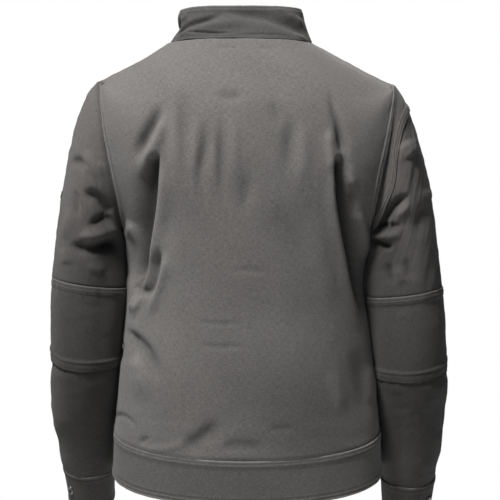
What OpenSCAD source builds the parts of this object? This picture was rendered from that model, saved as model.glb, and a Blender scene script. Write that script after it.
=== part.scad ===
// Waist-length canvas work jacket with a stand collar, let-in elbow panels and a hem band.
// Millimetres. +Z up, the front faces -Y, the wearer's left is +X.
// The origin is the middle of the neck opening, level with the back of the collar seam.

/* [Body] */
// Half width between the shoulder points
shoulder_half = 217; // [212:1:222]
// Drop from the collar seam to the shoulder points
shoulder_drop = 55; // [50:1:60]
// Depth of the armholes' lowest point below the collar seam
armpit_drop = 285; // [280:1:290]
// Half width of the body at the armpits
chest_half = 178; // [174:1:179]
// Half width of the body at the hem seam
hem_half = 200; // [194:1:201]
// Drop from the collar seam to the hem seam at the sides
hem_drop = 580; // [570:1:590]
// How much lower the hem seam hangs at the centre back
back_tail = 24; // [0:1:40]
// Height of the hem band
hem_band_h = 63; // [50:1:70]

/* [Collar] */
// Half width of the neck opening
neck_half = 106; // [100:1:110]
// How far the collar sits over towards the wearer's left
neck_shift = 10; // [0:1:12]
// Height of the stand collar
collar_h = 48; // [40:1:60]

/* [Sleeves] */
// How much lower the right sleeve hangs than the left one
right_sleeve_drop = 16; // [0:1:20]
// How much further out the right cuff hangs than the left one
right_cuff_out = 7; // [0:1:10]
// Width of the two cuff snaps
cuff_snap_d = 15; // [12:0.5:17]

/* [Cloth] */
// Thickness of the canvas shell
canvas_t = 2; // [1.5:0.1:2.2]
// Thickness of the lining
lining_t = 1.5; // [1:0.1:1.6]

/* [Front closure] */
// Length of the zip below the collar seam
zip_len = 572; // [550:1:575]
// How far the zip is opened below the collar seam
zip_open = 70; // [60:1:80]
// Half width of the open front at the collar seam
neck_gap = 14; // [8:1:16]
// Distance from one tooth to the next
tooth_pitch = 6; // [5:0.5:8]
// Half width of the wind flap behind the zip
wind_flap_half = 21; // [20:1:30]

/* [Hidden] */
ridge_y = -8;
arm_back = 74;
arm_front = 70;
neck_back = 52;
neck_front = 100;
neck_front_drop = 58;
hem_front = 134;
front_run = 542;
v_shoulder = 1 / 6;
v_armpit = 1 / 2;
edge_u = 0.999;
lining_in = 4;
seam_gap = 1.2;
armhole_gap = 3.8;
sleeve_run = 830;
snap_t = 2.4;
zip_tilt = atan((hem_front - neck_front) / front_run);
zip_spread = atan(neck_gap / zip_open);
t_elbow_top = 0.445;
t_elbow_low = 0.605;
t_cuff = 0.92;
hind_arm = 0.22;

// Depth below the collar seam against half width down the armhole and the side seam
arm_x = [[shoulder_drop, shoulder_half], [130, 208], [180, 198], [230, 188], [armpit_drop, chest_half]];
side_x = [[armpit_drop, chest_half], [385, 176], [470, 186], [hem_drop, hem_half]];
// Depth below the collar seam against the back's distance behind the neck's centre
back_y = [[0, neck_back], [45, 82], [100, 108], [180, 120], [300, 117], [400, 112], [500, 116], [600, 126]];
// Rows of the grid against depth at the centre back and the centre front
back_d = [[0, 0], [v_shoulder, 92], [v_armpit, 295], [1, hem_drop + back_tail]];
front_d = [[0, neck_front_drop], [v_shoulder, 125], [v_armpit, 300], [1, hem_drop - 4]];

// Sleeve stations: place along it, outer x and depth, inner x and depth, centre y, half depth, lean
sleeve_rows = [
    [0, 217, 55, 179, 285, 0, 74, 0],
    [0.06, 232, 77, 181, 290, 0, 75, 0],
    [0.12, 249, 118, 181.5, 297, 0, 76, 0],
    [0.2, 262, 172, 181.5, 306, 0, 75, 0],
    [0.28, 272.5, 232, 181.5, 318, 0, 72, 0],
    [0.36, 280, 290, 182, 336, 0, 69, 0],
    [0.445, 287.5, 351, 183.5, 366, 1, 66, 1],
    [0.52, 292, 402, 186, 414, 2, 63, 5],
    [0.605, 294.5, 468, 191, 478, -2, 61, 10],
    [0.7, 295.5, 527, 197.5, 532, -15, 56, 14],
    [0.8, 292.5, 581, 203, 584, -31, 50, 16],
    [0.92, 282, 648, 206, 650, -50, 43, 16],
    [1, 275, 706, 208, 704, -66, 39, 16]
];

// ---- Curves and grids ----

function lerp(a, b, t) = a + (b - a) * t;

function segment(rows, x, i = 0) =
    i >= len(rows) - 2 || x < rows[i + 1][0] ? i : segment(rows, x, i + 1);

function slope(rows, i, k) =
    let (a = max(i - 1, 0), b = min(i + 1, len(rows) - 1))
    (rows[b][k] - rows[a][k]) / (rows[b][0] - rows[a][0]);

// Value in column k of a table at x, on a smooth curve through its rows
function curve(rows, x, k = 1) =
    let (
        i = segment(rows, x),
        h = rows[i + 1][0] - rows[i][0],
        t = (x - rows[i][0]) / h,
        p = rows[i][k],
        q = rows[i + 1][k],
        m = slope(rows, i, k) * h,
        n = slope(rows, i + 1, k) * h
    )
    p + t * m + t * t * (3 * (q - p) - 2 * m - n) + t * t * t * (2 * (p - q) + m + n);

function unit(v) = v / norm(v);

function normal(f, u, v) =
    let (
        e = 0.002,
        across = f(u + e, v) - f(u - e, v),
        down = f(u, v + e) - f(u, v - e)
    )
    unit(cross(across, down));

// Points of a surface, moved inwards by depth
function layer(f, us, vs, depth, side = 1) =
    [for (v = vs) [for (u = us) f(u, v) - side * depth * normal(f, u, v)]];

function steps(a, b, n) = [for (i = [0:n]) lerp(a, b, i / n)];

// A closed solid between two grids of points; closed joins the last column to the first
module slab(outer, inner, closed = false, flip = false) {
    rows = len(outer);
    cols = len(outer[0]);
    n = rows * cols;
    last = closed ? cols - 1 : cols - 2;
    function at(i, j) = i * cols + j % cols;
    function quad(a, b, c, d) = [[a, b, c], [a, c, d]];
    skin = [
        for (i = [0:rows - 2])
        for (j = [0:last])
        let (a = at(i, j), b = at(i, j + 1), c = at(i + 1, j + 1), d = at(i + 1, j))
        each concat(quad(a, d, c, b), [[a + n, c + n, d + n], [a + n, b + n, c + n]])
    ];
    rims = [
        for (j = [0:last])
        let (a = at(0, j), b = at(0, j + 1), c = at(rows - 1, j + 1), d = at(rows - 1, j))
        each concat(quad(a, b, b + n, a + n), quad(c, d, d + n, c + n))
    ];
    sides = closed ? [] : [
        for (i = [0:rows - 2])
        let (a = at(i, 0), b = at(i, cols - 1), c = at(i + 1, cols - 1), d = at(i + 1, 0))
        each concat(quad(d, a, a + n, d + n), quad(b, c, c + n, b + n))
    ];
    faces = concat(skin, rims, sides);
    polyhedron(
        [for (row = concat(outer, inner)) each row],
        flip ? [for (f = faces) [f[2], f[1], f[0]]] : faces,
        convexity = 6
    );
}

// Cloth between two depths under a surface; side is -1 where the surface's normal points inwards
module cloth(f, us, vs, near, far, side = 1, closed = false) {
    slab(layer(f, us, vs, near, side), layer(f, us, vs, far, side), closed, side < 0);
}

// ---- Surfaces ----

// Depth and half width of the panels' edge at row v, and how far it lies behind the ridge
function edge(v, reach) =
    v < v_shoulder ? let (t = v / v_shoulder)
        [lerp(neck_half, shoulder_half, t), ridge_y, lerp(2, shoulder_drop, t)]
    : v < v_armpit ? let (
        t = (v - v_shoulder) / (v_armpit - v_shoulder),
        d = lerp(shoulder_drop, armpit_drop, (1 - cos(180 * t)) / 2)
    ) [curve(arm_x, d), lerp(ridge_y, 0, t) + reach * sin(180 * t), d]
    : let (d = lerp(armpit_drop, hem_drop, (v - v_armpit) / (1 - v_armpit)))
        [curve(side_x, d), 0, d];

// How flat the panel is towards the armhole at row v
function flatness(v) =
    v < v_shoulder || v > v_armpit ? 0
    : pow(sin(180 * (v - v_shoulder) / (v_armpit - v_shoulder)), 2);

function shift(v) = neck_shift * max(0, 1 - v / v_shoulder);

// Shares of the half width and of the depth at a place across a panel
function across(u, flat) = let (a = min(abs(u), 1)) lerp(sin(90 * a), a, flat * 0.6);
function depth_share(u, flat) =
    let (a = min(abs(u), 1)) lerp(pow(max(cos(90 * a), 0), 0.8), 1 - pow(a, 2.4), flat);

// A body panel's point: the edge at |u| = 1, the centre line at u = 0
function panel_point(u, v, reach, centre_y, centre_d) =
    let (
        w = min(max(v, 0), 1),
        e = edge(w, reach),
        k = depth_share(u, flatness(w)),
        beyond = max(abs(u) - 1, 0)
    )
    [
        sign(u) * e[0] * across(u, flatness(w)) + shift(w) * (reach > 0 ? 1 : min(abs(u), 1)),
        lerp(e[1], centre_y, k) - sign(reach) * beyond * 200,
        -lerp(e[2], centre_d, max(cos(90 * min(abs(u), 1)), 0)) - (v - w) * front_run
    ];

function front_line_y(d) = -neck_front - (d - neck_front_drop) * tan(zip_tilt);

back_f = function(u, v)
    let (d = curve(back_d, min(max(v, 0), 1)))
    panel_point(u, v, arm_back, curve(back_y, d), d);

// Half width of the open front at depth d
function opening(d) = neck_gap * max(0, 1 - (d - neck_front_drop) / zip_open);

// The front, with u from 0 at the closure to 1 at the seam
function front_f(side) = function(u, v)
    let (
        w = min(max(v, 0), 1),
        d = curve(front_d, w),
        p = panel_point(side * u, v, -arm_front, front_line_y(d), d),
        front_x = side * (9 + opening(-p[2])),
        seam_x = side * edge(w, -arm_front)[0] + shift(w)
    )
    [lerp(front_x, seam_x, p[0] / seam_x), p[1], p[2]];

function hem_f(of, v0 = 1) = function(u, t)
    let (p = of(u, v0))
    [p[0] * (1 + 0.012 * t), p[1] * (1 + (p[1] < 0 ? 0.03 : 0.01) * t), p[2] - 1.2 - hem_band_h * t];

// The stand collar: a from -1 to 1 round the neck, 0 at the back; t from 0 at the seam to 1
collar_f = function(a, t)
    let (
        back = abs(a) < 0.5,
        turn = back ? 180 * abs(a) : 180 * (1 - abs(a)),
        k = pow(max(cos(turn), 0), 0.8),
        foot = [
            sign(a) * neck_half * sin(turn) + neck_shift * (back ? 1 : 2 * (1 - abs(a))),
            lerp(ridge_y, back ? neck_back : -neck_front - 2, k),
            -lerp(2, back ? 0 : neck_front_drop, max(cos(turn), 0))
        ],
        lean = back ? [-sign(a) * 15 * sin(turn), lerp(-2, -24, k), 0]
            : [-sign(a) * 15 * sin(turn) + sign(a) * 14 * k, lerp(-2, 2.6, k), 0]
    )
    foot + t * lean + [0, 0, 1.5 + t * collar_h];

// A sleeve: a from 0 at the outside through 0.25 at the back; t from 0 at the armhole to 1
function sleeve_f(side) = function(a, t)
    let (
        s = min(max(t, 0), 1),
        drop = side < 0 ? right_sleeve_drop * min(1, s / 0.5) : 0,
        clear = armhole_gap + (side < 0 ? right_cuff_out * s * s : 0),
        out = [curve(sleeve_rows, s, 1) + clear, 0, -curve(sleeve_rows, s, 2) - drop],
        inn = [curve(sleeve_rows, s, 3) + clear, 0, -curve(sleeve_rows, s, 4) - drop],
        mid = (out + inn) / 2 + [0, curve(sleeve_rows, s, 5), 0],
        b = curve(sleeve_rows, s, 6),
        lean = curve(sleeve_rows, s, 7),
        p = mid + cos(360 * a) * (out - inn) / 2 + sin(360 * a) * b * [0, cos(lean), -sin(lean)]
            + (t - s) * sleeve_run * [0, -sin(lean), -cos(lean)]
    )
    [side * p[0], p[1], p[2]];

// ---- Placing hardware on a surface ----

// Turns children's +Z to the surface's outward normal at a place, raised above it
module on_surface(f, u, v, side, raise) {
    n = side * normal(f, u, v);
    p = f(u, v) + raise * n;
    translate(p)
    rotate([0, acos(n[2]), atan2(n[1], n[0])])
    children();
}

// Children's -Z runs down the closure and their -Y points out of the front
module on_closure() {
    translate([0, -neck_front, -neck_front_drop])
    rotate([-zip_tilt, 0, 0])
    children();
}

// A snap's domed cap, its face at z = 0
module snap_cap(d) {
    rotate_extrude($fn = 32)
    polygon([
        [0, 0], [d / 2, 0], [d / 2, snap_t * 0.4], [d * 0.42, snap_t * 0.75],
        [d * 0.25, snap_t * 0.95], [0, snap_t]
    ]);
}

// ---- Body ----

across_back = steps(-edge_u, edge_u, 16);
across_front = steps(0, edge_u, 8);
down_body = steps(0.004, 0.999, 18);
hem_rows = [0, 0.5, 1];
round_collar = steps(-0.93, 0.93, 28);

module back_panel() {
    color("dimgray")
    cloth(back_f, across_back, down_body, 0, canvas_t);
}

module front_panel(side) {
    color("dimgray")
    cloth(front_f(side), across_front, down_body, 0, canvas_t, -side);
}

module back_hem_band() {
    color([0.33, 0.33, 0.33])
    cloth(hem_f(back_f), across_back, hem_rows, 0, canvas_t + 1);
}

module front_hem_band(side) {
    color([0.33, 0.33, 0.33])
    cloth(hem_f(front_f(side)), across_front, hem_rows, 0, canvas_t + 1, -side);
}

module collar_outer() {
    color("dimgray")
    cloth(collar_f, round_collar, [0, 0.5, 1], 0, canvas_t, -1);
}

module collar_facing() {
    color("gray")
    cloth(collar_f, [for (i = [1:27]) round_collar[i]], [0.02, 0.5, 0.98], canvas_t + 0.5, 2 * canvas_t, -1);
}

module hanger_loop() {
    loop_r = 28;
    stand_off = 9;
    tape_t = 1.2;
    arc = [for (i = [0:16]) [-cos(180 * i / 16), -sin(180 * i / 16)]];
    color([0.2, 0.2, 0.2])
    translate([neck_shift, neck_back - 2 * canvas_t - 7.5, 4])
    linear_extrude(7)
    polygon(concat(
        [for (p = arc) [p[0] * loop_r, p[1] * stand_off]],
        [for (i = [16:-1:0]) [arc[i][0] * (loop_r - tape_t), arc[i][1] * (stand_off - tape_t)]]
    ));
}

module back_lining() {
    color("darkslategray")
    cloth(back_f, [for (i = [1:15]) across_back[i]], down_body, lining_in, lining_in + lining_t);
}

module front_lining(side) {
    color("darkslategray")
    cloth(front_f(side), [for (i = [1:7]) across_front[i]], down_body,
        lining_in, lining_in + lining_t, -side);
}

// ---- Front closure ----

module zipper_tape(side) {
    tape_w = 10;
    neck_tape_w = 6;
    tape_t = 0.6;
    tape_y = 3.9;
    color([0.15, 0.15, 0.15])
    on_closure() {
        translate([side > 0 ? 3.4 : -3.4 - tape_w, tape_y, -zip_len])
        cube([tape_w, tape_t, zip_len - zip_open]);
        translate([0, tape_y, -zip_open])
        rotate([0, side * zip_spread, 0])
        translate([side > 0 ? 3.4 : -3.4 - neck_tape_w, 0, 0.4 + neck_tape_w * tan(zip_spread)])
        cube([neck_tape_w, tape_t, zip_open + collar_h - 10]);
    }
}

// A comb of teeth as a flat outline, from z = 0 up, its teeth pointing towards the chain
module comb(side, length) {
    count = floor(length / tooth_pitch);
    bead = 3;
    tip = 0.8;
    rotate([90, 0, 0])
    linear_extrude(2.4, center = true)
    scale([side, 1])
    polygon(concat(
        [[bead + 1.8, 0], [bead + 1.8, count * tooth_pitch]],
        [
            for (i = [count - 1:-1:0])
            let (z = i * tooth_pitch)
            each [
                [bead, z + tooth_pitch], [bead, z + tooth_pitch * 0.75],
                [tip, z + tooth_pitch * 0.65], [tip, z + tooth_pitch * 0.35], [bead, z + tooth_pitch * 0.25]
            ]
        ],
        [[bead, 0]]
    ));
}

module zipper_teeth(side) {
    color("silver")
    on_closure() {
        translate([0, 0.6, -zip_len + 8])
        comb(side, zip_len - zip_open - 8);
        translate([0, 0.6, -zip_open])
        rotate([0, side * zip_spread, 0])
        translate([0, 0, 1.2])
        comb(side, zip_open + collar_h - 10);
    }
}

module zipper_stop() {
    color("silver")
    on_closure()
    translate([-5.5, -1.4, -zip_len - 3])
    cube([11, 3.6, 10]);
}

// The slider's two plates, joined by a thin neck that runs in the slot between the rows
slider_l = 20;
slider_w = 12;
plate_t = 1.4;
lug_r = 3.2;
pin_r = 1;
lug_y = -1.2 - plate_t - 2.4;

module zipper_slider() {
    color("darkgray")
    on_closure()
    translate([0, 0, -zip_open - slider_l])
    {
        translate([-slider_w / 2, -1.2 - plate_t, 0])
        cube([slider_w, plate_t, slider_l]);
        translate([-slider_w / 2, 4.6, 0])
        cube([slider_w, plate_t, slider_l]);
        translate([-0.35, -1.4, 2])
        cube([0.7, 6.2, slider_l - 4]);
        difference() {
            translate([-1.5, lug_y - lug_r, slider_l / 2 - lug_r])
            cube([3, lug_r + 2.6, 2 * lug_r]);
            translate([-3, lug_y, slider_l / 2])
            rotate([0, 90, 0])
            cylinder(r = pin_r + 0.3, h = 6, $fn = 24);
        }
    }
}

module zipper_pull() {
    pull_l = 30;
    pull_w = 9;
    color("darkgray")
    on_closure()
    translate([0, lug_y, -zip_open - slider_l / 2])
    {
        translate([-pull_w / 2, 0, 0])
        rotate([0, 90, 0])
        cylinder(r = pin_r, h = pull_w, $fn = 24);
        for (x = [-pull_w / 2, pull_w / 2 - 2])
        translate([x, -pin_r, -8])
        cube([2, 2 * pin_r, 8]);
        translate([0, -pin_r, 0])
        rotate([-90, 0, 0])
        linear_extrude(2 * pin_r)
        difference() {
            translate([-pull_w / 2, 7])
            square([pull_w, pull_l - 7]);
            translate([0, pull_l - 4])
            circle(d = 4, $fn = 24);
        }
    }
}

module wind_flap() {
    color([0.3, 0.3, 0.3])
    on_closure()
    translate([-wind_flap_half, 7, -zip_len])
    cube([2 * wind_flap_half, 1.2, zip_len - 4]);
}

// ---- Pockets ----

// Width range and depth range of the chest pocket on the left front
pocket_u = [0.34, 0.72];
pocket_v = [0.33, 0.55];

// The left front with its rows levelled, so that the pocket's edges run straight across
level_f = function(u, v) front_f(1)(u, v + 0.1 * (0.86 - cos(90 * u)));

module chest_pocket() {
    color("dimgray")
    cloth(level_f, steps(pocket_u[0], pocket_u[1], 5), steps(pocket_v[0], pocket_v[1], 6), -3, -1.2, -1);
}

module chest_pocket_flap() {
    color([0.36, 0.36, 0.36])
    cloth(level_f, steps(pocket_u[0] - 0.01, pocket_u[1] + 0.01, 5),
        steps(pocket_v[0] - 0.02, pocket_v[0] + 0.075, 3), -7.6, -5.6, -1);
}

module chest_snap_cap() {
    color("silver")
    on_surface(level_f, 0.53, pocket_v[0] + 0.055, -1, 8)
    snap_cap(13);
}

module chest_snap_stud() {
    color("silver")
    on_surface(level_f, 0.53, pocket_v[0] + 0.055, -1, 3.2)
    cylinder(d = 9, h = 1.3, $fn = 32);
}

module pocket_welt(side) {
    color([0.36, 0.36, 0.36])
    cloth(function(u, v) front_f(side)(u + 0.28 * (v - 0.78) * 2, v),
        steps(0.62, 0.7, 2), steps(0.7, 0.86, 5), -2.6, -0.6, -side);
}

module pocket_bag(side) {
    color("gray")
    cloth(front_f(side), [for (i = [2:5]) across_front[i]], [for (i = [13:17]) down_body[i]],
        canvas_t + 0.5, canvas_t + 1.3, -side);
}

// ---- Sleeves ----

module sleeve_strip(side, a0, a1, n, t0, t1, rows, near, far) {
    cloth(sleeve_f(side), steps(a0, a1, n), steps(t0, t1, rows), near, far, -side);
}

// A tube of cloth all round the arm
module sleeve_ring(side, n, t0, t1, rows, near, far) {
    cloth(sleeve_f(side), [for (i = [0:n - 1]) i / n], steps(t0, t1, rows), near, far, -side, true);
}

gap_t = seam_gap / sleeve_run;

module top_sleeve(side) {
    color("dimgray")
    sleeve_strip(side, hind_arm - 0.498, hind_arm - 0.002, 8, 0, t_elbow_top - gap_t, 10, 0, canvas_t);
}

module under_sleeve(side) {
    color("dimgray")
    sleeve_strip(side, hind_arm + 0.002, hind_arm + 0.498, 8, 0, t_elbow_top - gap_t, 10, 0, canvas_t);
}

module elbow_panel(side) {
    color([0.36, 0.36, 0.36])
    sleeve_ring(side, 16, t_elbow_top, t_elbow_low - gap_t, 5, 0, canvas_t);
}

module forearm_panel(side) {
    color("dimgray")
    sleeve_ring(side, 16, t_elbow_low, t_cuff - gap_t, 6, 0, canvas_t);
}

module cuff(side) {
    color([0.33, 0.33, 0.33])
    sleeve_ring(side, 16, t_cuff, 1, 2, 0, canvas_t + 0.6);
}

module upper_sleeve_lining(side) {
    color("darkslategray")
    sleeve_ring(side, 16, 0.004, t_elbow_top - gap_t, 10, lining_in, lining_in + lining_t);
}

module lower_sleeve_lining(side) {
    color("darkslategray")
    sleeve_ring(side, 16, t_elbow_top + gap_t, t_cuff + 0.02, 9, lining_in, lining_in + lining_t);
}

module cuff_snap(side) {
    color("silver")
    on_surface(sleeve_f(side), 0.12, 0.96, -side, 0.3)
    snap_cap(cuff_snap_d);
}

module left_sleeve_tab() {
    color([0.15, 0.15, 0.15])
    on_surface(sleeve_f(1), 0.02, 0.27, -1, 0.4)
    translate([-8, -5, 0])
    cube([16, 10, 1]);
}

back_panel();
front_panel(1);  // left_front_panel
front_panel(-1);  // right_front_panel
back_hem_band();
front_hem_band(1);  // left_hem_band
front_hem_band(-1);  // right_hem_band
collar_outer();
collar_facing();
hanger_loop();
back_lining();
front_lining(1);  // left_front_lining
front_lining(-1);  // right_front_lining
zipper_tape(1);  // left_zipper_tape
zipper_tape(-1);  // right_zipper_tape
zipper_teeth(1);  // left_zipper_teeth
zipper_teeth(-1);  // right_zipper_teeth
zipper_stop();
zipper_slider();
zipper_pull();
wind_flap();
chest_pocket();
chest_pocket_flap();
chest_snap_cap();
chest_snap_stud();
pocket_welt(1);  // left_pocket_welt
pocket_welt(-1);  // right_pocket_welt
pocket_bag(1);  // left_pocket_bag
pocket_bag(-1);  // right_pocket_bag
top_sleeve(1);  // left_top_sleeve
under_sleeve(1);  // left_under_sleeve
elbow_panel(1);  // left_elbow_panel
forearm_panel(1);  // left_forearm_panel
cuff(1);  // left_cuff
upper_sleeve_lining(1);  // left_upper_sleeve_lining
lower_sleeve_lining(1);  // left_lower_sleeve_lining
cuff_snap(1);  // left_cuff_snap
left_sleeve_tab();
top_sleeve(-1);  // right_top_sleeve
under_sleeve(-1);  // right_under_sleeve
elbow_panel(-1);  // right_elbow_panel
forearm_panel(-1);  // right_forearm_panel
cuff(-1);  // right_cuff
upper_sleeve_lining(-1);  // right_upper_sleeve_lining
lower_sleeve_lining(-1);  // right_lower_sleeve_lining
cuff_snap(-1);  // right_cuff_snap
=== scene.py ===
import copy
import math

import bpy
import numpy as np
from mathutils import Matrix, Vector


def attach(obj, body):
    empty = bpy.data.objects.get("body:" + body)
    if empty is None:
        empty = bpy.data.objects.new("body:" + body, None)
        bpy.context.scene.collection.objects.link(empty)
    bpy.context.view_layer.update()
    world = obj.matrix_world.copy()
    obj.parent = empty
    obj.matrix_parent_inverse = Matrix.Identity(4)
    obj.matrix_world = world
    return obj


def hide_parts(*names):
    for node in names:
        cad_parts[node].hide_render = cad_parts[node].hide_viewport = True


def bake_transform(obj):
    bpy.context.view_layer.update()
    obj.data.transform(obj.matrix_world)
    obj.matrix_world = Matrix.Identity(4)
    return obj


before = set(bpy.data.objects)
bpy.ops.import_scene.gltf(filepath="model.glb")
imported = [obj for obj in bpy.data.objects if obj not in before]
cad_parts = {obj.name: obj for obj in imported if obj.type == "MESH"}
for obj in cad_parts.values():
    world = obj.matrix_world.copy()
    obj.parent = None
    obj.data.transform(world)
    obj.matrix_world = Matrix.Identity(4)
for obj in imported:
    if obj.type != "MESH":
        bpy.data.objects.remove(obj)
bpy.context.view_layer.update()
scene = bpy.context.scene
MM = 0.001


# ---- Camera ----

def aim(obj, target):
    turn = (Vector(target) - obj.location).to_track_quat("-Z", "Y")
    obj.rotation_euler = turn.to_euler()


camera = bpy.data.objects.new("camera", bpy.data.cameras.new("camera"))
camera.data.sensor_width = 36
camera.data.lens = 96
camera.data.clip_end = 50
camera.location = (-0.0045, 2.0, -0.18)
aim(camera, (-0.0045, 0, -0.3105))
scene.collection.objects.link(camera)
scene.camera = camera

# ---- Surfaces of the jacket, in millimetres, as the CAD has them ----

NECK_HALF, SHOULDER_HALF, SHOULDER_DROP = 106, 217, 55
ARMPIT_DROP, HEM_DROP, HEM_BAND = 285, 580, 63
V_SHOULDER, V_ARMPIT = 1 / 6, 1 / 2
SHOULDER_Y, NECK_X, FRONT_Y, FRONT_DROP, FRONT_RUN = -8, 10, -100, 58, 542
BACK_REACH, FRONT_REACH = 74, -70
ZIP_TILT = math.atan(34 / FRONT_RUN)
ZIP_OPEN, NECK_GAP, ZIP_LEN = 70, 14, 572
ZIP_SPREAD = math.atan(NECK_GAP / ZIP_OPEN)
COLLAR_H = 48
T_ELBOW_TOP, T_ELBOW_LOW, T_CUFF = 0.445, 0.605, 0.92
SLEEVE_RUN = 830
ARMHOLE_GAP = 3.8
TURNED_UNDER = 6.5
# Thickness of the canvas, and of the lining and the zip's tapes
CANVAS, THIN = 1.8, 0.6
# How far a seam's two rows of stitches are from its fold
ROWS = (2.2, 8.6)

ARM_X = [(55, 217), (130, 208), (180, 198), (230, 188), (285, 178)]
SIDE_X = [(285, 178), (385, 176), (470, 186), (580, 200)]
BACK_Y = [(0, 52), (45, 82), (100, 108), (180, 120), (300, 117), (400, 112), (500, 116), (600, 126)]
BACK_D = [(0, 0), (V_SHOULDER, 92), (V_ARMPIT, 295), (1, 604)]
FRONT_D = [(0, 58), (V_SHOULDER, 125), (V_ARMPIT, 300), (1, 576)]
SLEEVE_ROWS = [
    (0, 217, 55, 179, 285, 0, 74, 0),
    (0.06, 232, 77, 181, 290, 0, 75, 0),
    (0.12, 249, 118, 181.5, 297, 0, 76, 0),
    (0.2, 262, 172, 181.5, 306, 0, 75, 0),
    (0.28, 272.5, 232, 181.5, 318, 0, 72, 0),
    (0.36, 280, 290, 182, 336, 0, 69, 0),
    (0.445, 287.5, 351, 183.5, 366, 1, 66, 1),
    (0.52, 292, 402, 186, 414, 2, 63, 5),
    (0.605, 294.5, 468, 191, 478, -2, 61, 10),
    (0.7, 295.5, 527, 197.5, 532, -15, 56, 14),
    (0.8, 292.5, 581, 203, 584, -31, 50, 16),
    (0.92, 282, 648, 206, 650, -50, 43, 16),
    (1, 275, 706, 208, 704, -66, 39, 16),
]


def lerp(a, b, t):
    return a + (b - a) * t


def smooth(x, a=0.0, b=1.0):
    t = np.clip((x - a) / (b - a), 0, 1)
    return t * t * (3 - 2 * t)


def bump(x, centre, half):
    return np.exp(-((x - centre) / half) ** 2)

def unit(a):
    return a / np.maximum(np.linalg.norm(a, axis=-1, keepdims=True), 1e-9)


def walked(points):
    """How far along a line each of its points is."""
    return np.concatenate([[0], np.cumsum(np.linalg.norm(np.diff(points, axis=0), axis=1))])


def circle(n):
    return [2 * math.pi * i / n for i in range(n)]


def span(lo, hi, n, power=1):
    """Places from lo to hi, closer together towards hi where the power is over 1."""
    return np.linspace(lo, hi, n) if power == 1 else lerp(lo, hi, 1 - (1 - np.linspace(0, 1, n)) ** power)


def dense_edges(lo, hi, n, power=1.35):
    """Places from lo to hi, closer together towards both ends."""
    s = np.linspace(-1, 1, n)
    s = np.sign(s) * (1 - (1 - np.abs(s)) ** power)
    return lerp(lo, hi, (s + 1) / 2)


def curve(rows, x, k=1):
    """Value in column k of a table at x, on a smooth curve through its rows."""
    rows = np.asarray(rows, float)
    xs, ys = rows[:, 0], rows[:, k]
    n = len(xs)
    j = np.arange(n)
    lo, hi = np.maximum(j - 1, 0), np.minimum(j + 1, n - 1)
    m = (ys[hi] - ys[lo]) / (xs[hi] - xs[lo])
    i = np.clip(np.searchsorted(xs, x, side="right") - 1, 0, n - 2)
    h = xs[i + 1] - xs[i]
    t = (x - xs[i]) / h
    p, q, a, b = ys[i], ys[i + 1], m[i] * h, m[i + 1] * h
    return p + t * a + t * t * (3 * (q - p) - 2 * a - b) + t ** 3 * (2 * (p - q) + a + b)


def edge(v, reach):
    """Half width, place and depth of a body panel's edge at row v."""
    t1 = v / V_SHOULDER
    t2 = (v - V_SHOULDER) / (V_ARMPIT - V_SHOULDER)
    t3 = (v - V_ARMPIT) / (1 - V_ARMPIT)
    d2 = lerp(SHOULDER_DROP, ARMPIT_DROP, (1 - np.cos(np.pi * np.clip(t2, 0, 1))) / 2)
    d3 = lerp(ARMPIT_DROP, HEM_DROP, np.clip(t3, 0, 1.1))
    top, mid = v < V_SHOULDER, v < V_ARMPIT
    low = np.where(mid, curve(ARM_X, d2), curve(SIDE_X, d3))
    x = np.where(top, lerp(NECK_HALF, SHOULDER_HALF, t1), low)
    y = np.where(top, SHOULDER_Y, np.where(mid, lerp(SHOULDER_Y, 0, t2) + reach * np.sin(np.pi * t2), 0))
    d = np.where(top, lerp(2, SHOULDER_DROP, t1), np.where(mid, d2, d3))
    return x, y, d


def panel(u, v, reach, centre_y, centre_d):
    """A body panel between its side edges: rounded, and flatter between the armholes."""
    w = np.clip(v, 0, 1)
    ex, ey, ed = edge(w, reach)
    flat = np.sin(np.pi * np.clip((w - V_SHOULDER) / (V_ARMPIT - V_SHOULDER), 0, 1)) ** 2
    a = np.minimum(np.abs(u), 1)
    cos = np.maximum(np.cos(np.pi / 2 * a), 0)
    across = lerp(np.sin(np.pi / 2 * a), a, flat * 0.6)
    k = lerp(cos ** 0.8, 1 - a ** 2.4, flat)
    shift = NECK_X * np.maximum(0, 1 - w / V_SHOULDER) * (1 if reach > 0 else a)
    beyond = np.maximum(np.abs(u) - 1, 0)
    return np.stack([
        np.sign(u) * ex * across + shift,
        lerp(ey, centre_y, k) - np.sign(reach) * beyond * 200,
        -lerp(ed, centre_d, cos) - (v - w) * FRONT_RUN,
    ], -1)


def back_f(u, v):
    d = curve(BACK_D, np.clip(v, 0, 1))
    return panel(u, v, BACK_REACH, curve(BACK_Y, d), d)


def front_f(side):
    def f(u, v):
        w = np.clip(v, 0, 1)
        d = curve(FRONT_D, w)
        p = panel(side * u, v, FRONT_REACH, FRONT_Y - (d - FRONT_DROP) * math.tan(ZIP_TILT), d)
        opening = NECK_GAP * np.maximum(0, 1 - (-p[..., 2] - FRONT_DROP) / ZIP_OPEN)
        seam_x = side * edge(w, FRONT_REACH)[0] + NECK_X * np.maximum(0, 1 - w / V_SHOULDER)
        p[..., 0] = lerp(side * (9 + opening), seam_x, p[..., 0] / seam_x)
        return p
    return f


def hem_f(of):
    def f(u, t):
        p = of(u, np.ones_like(t))
        x, y, z = p[..., 0], p[..., 1], p[..., 2]
        deeper = 1 + np.where(y < 0, 0.03, 0.01) * t
        return np.stack([x * (1 + 0.012 * t), y * deeper, z - 1.2 - HEM_BAND * t], -1)
    return f


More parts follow.
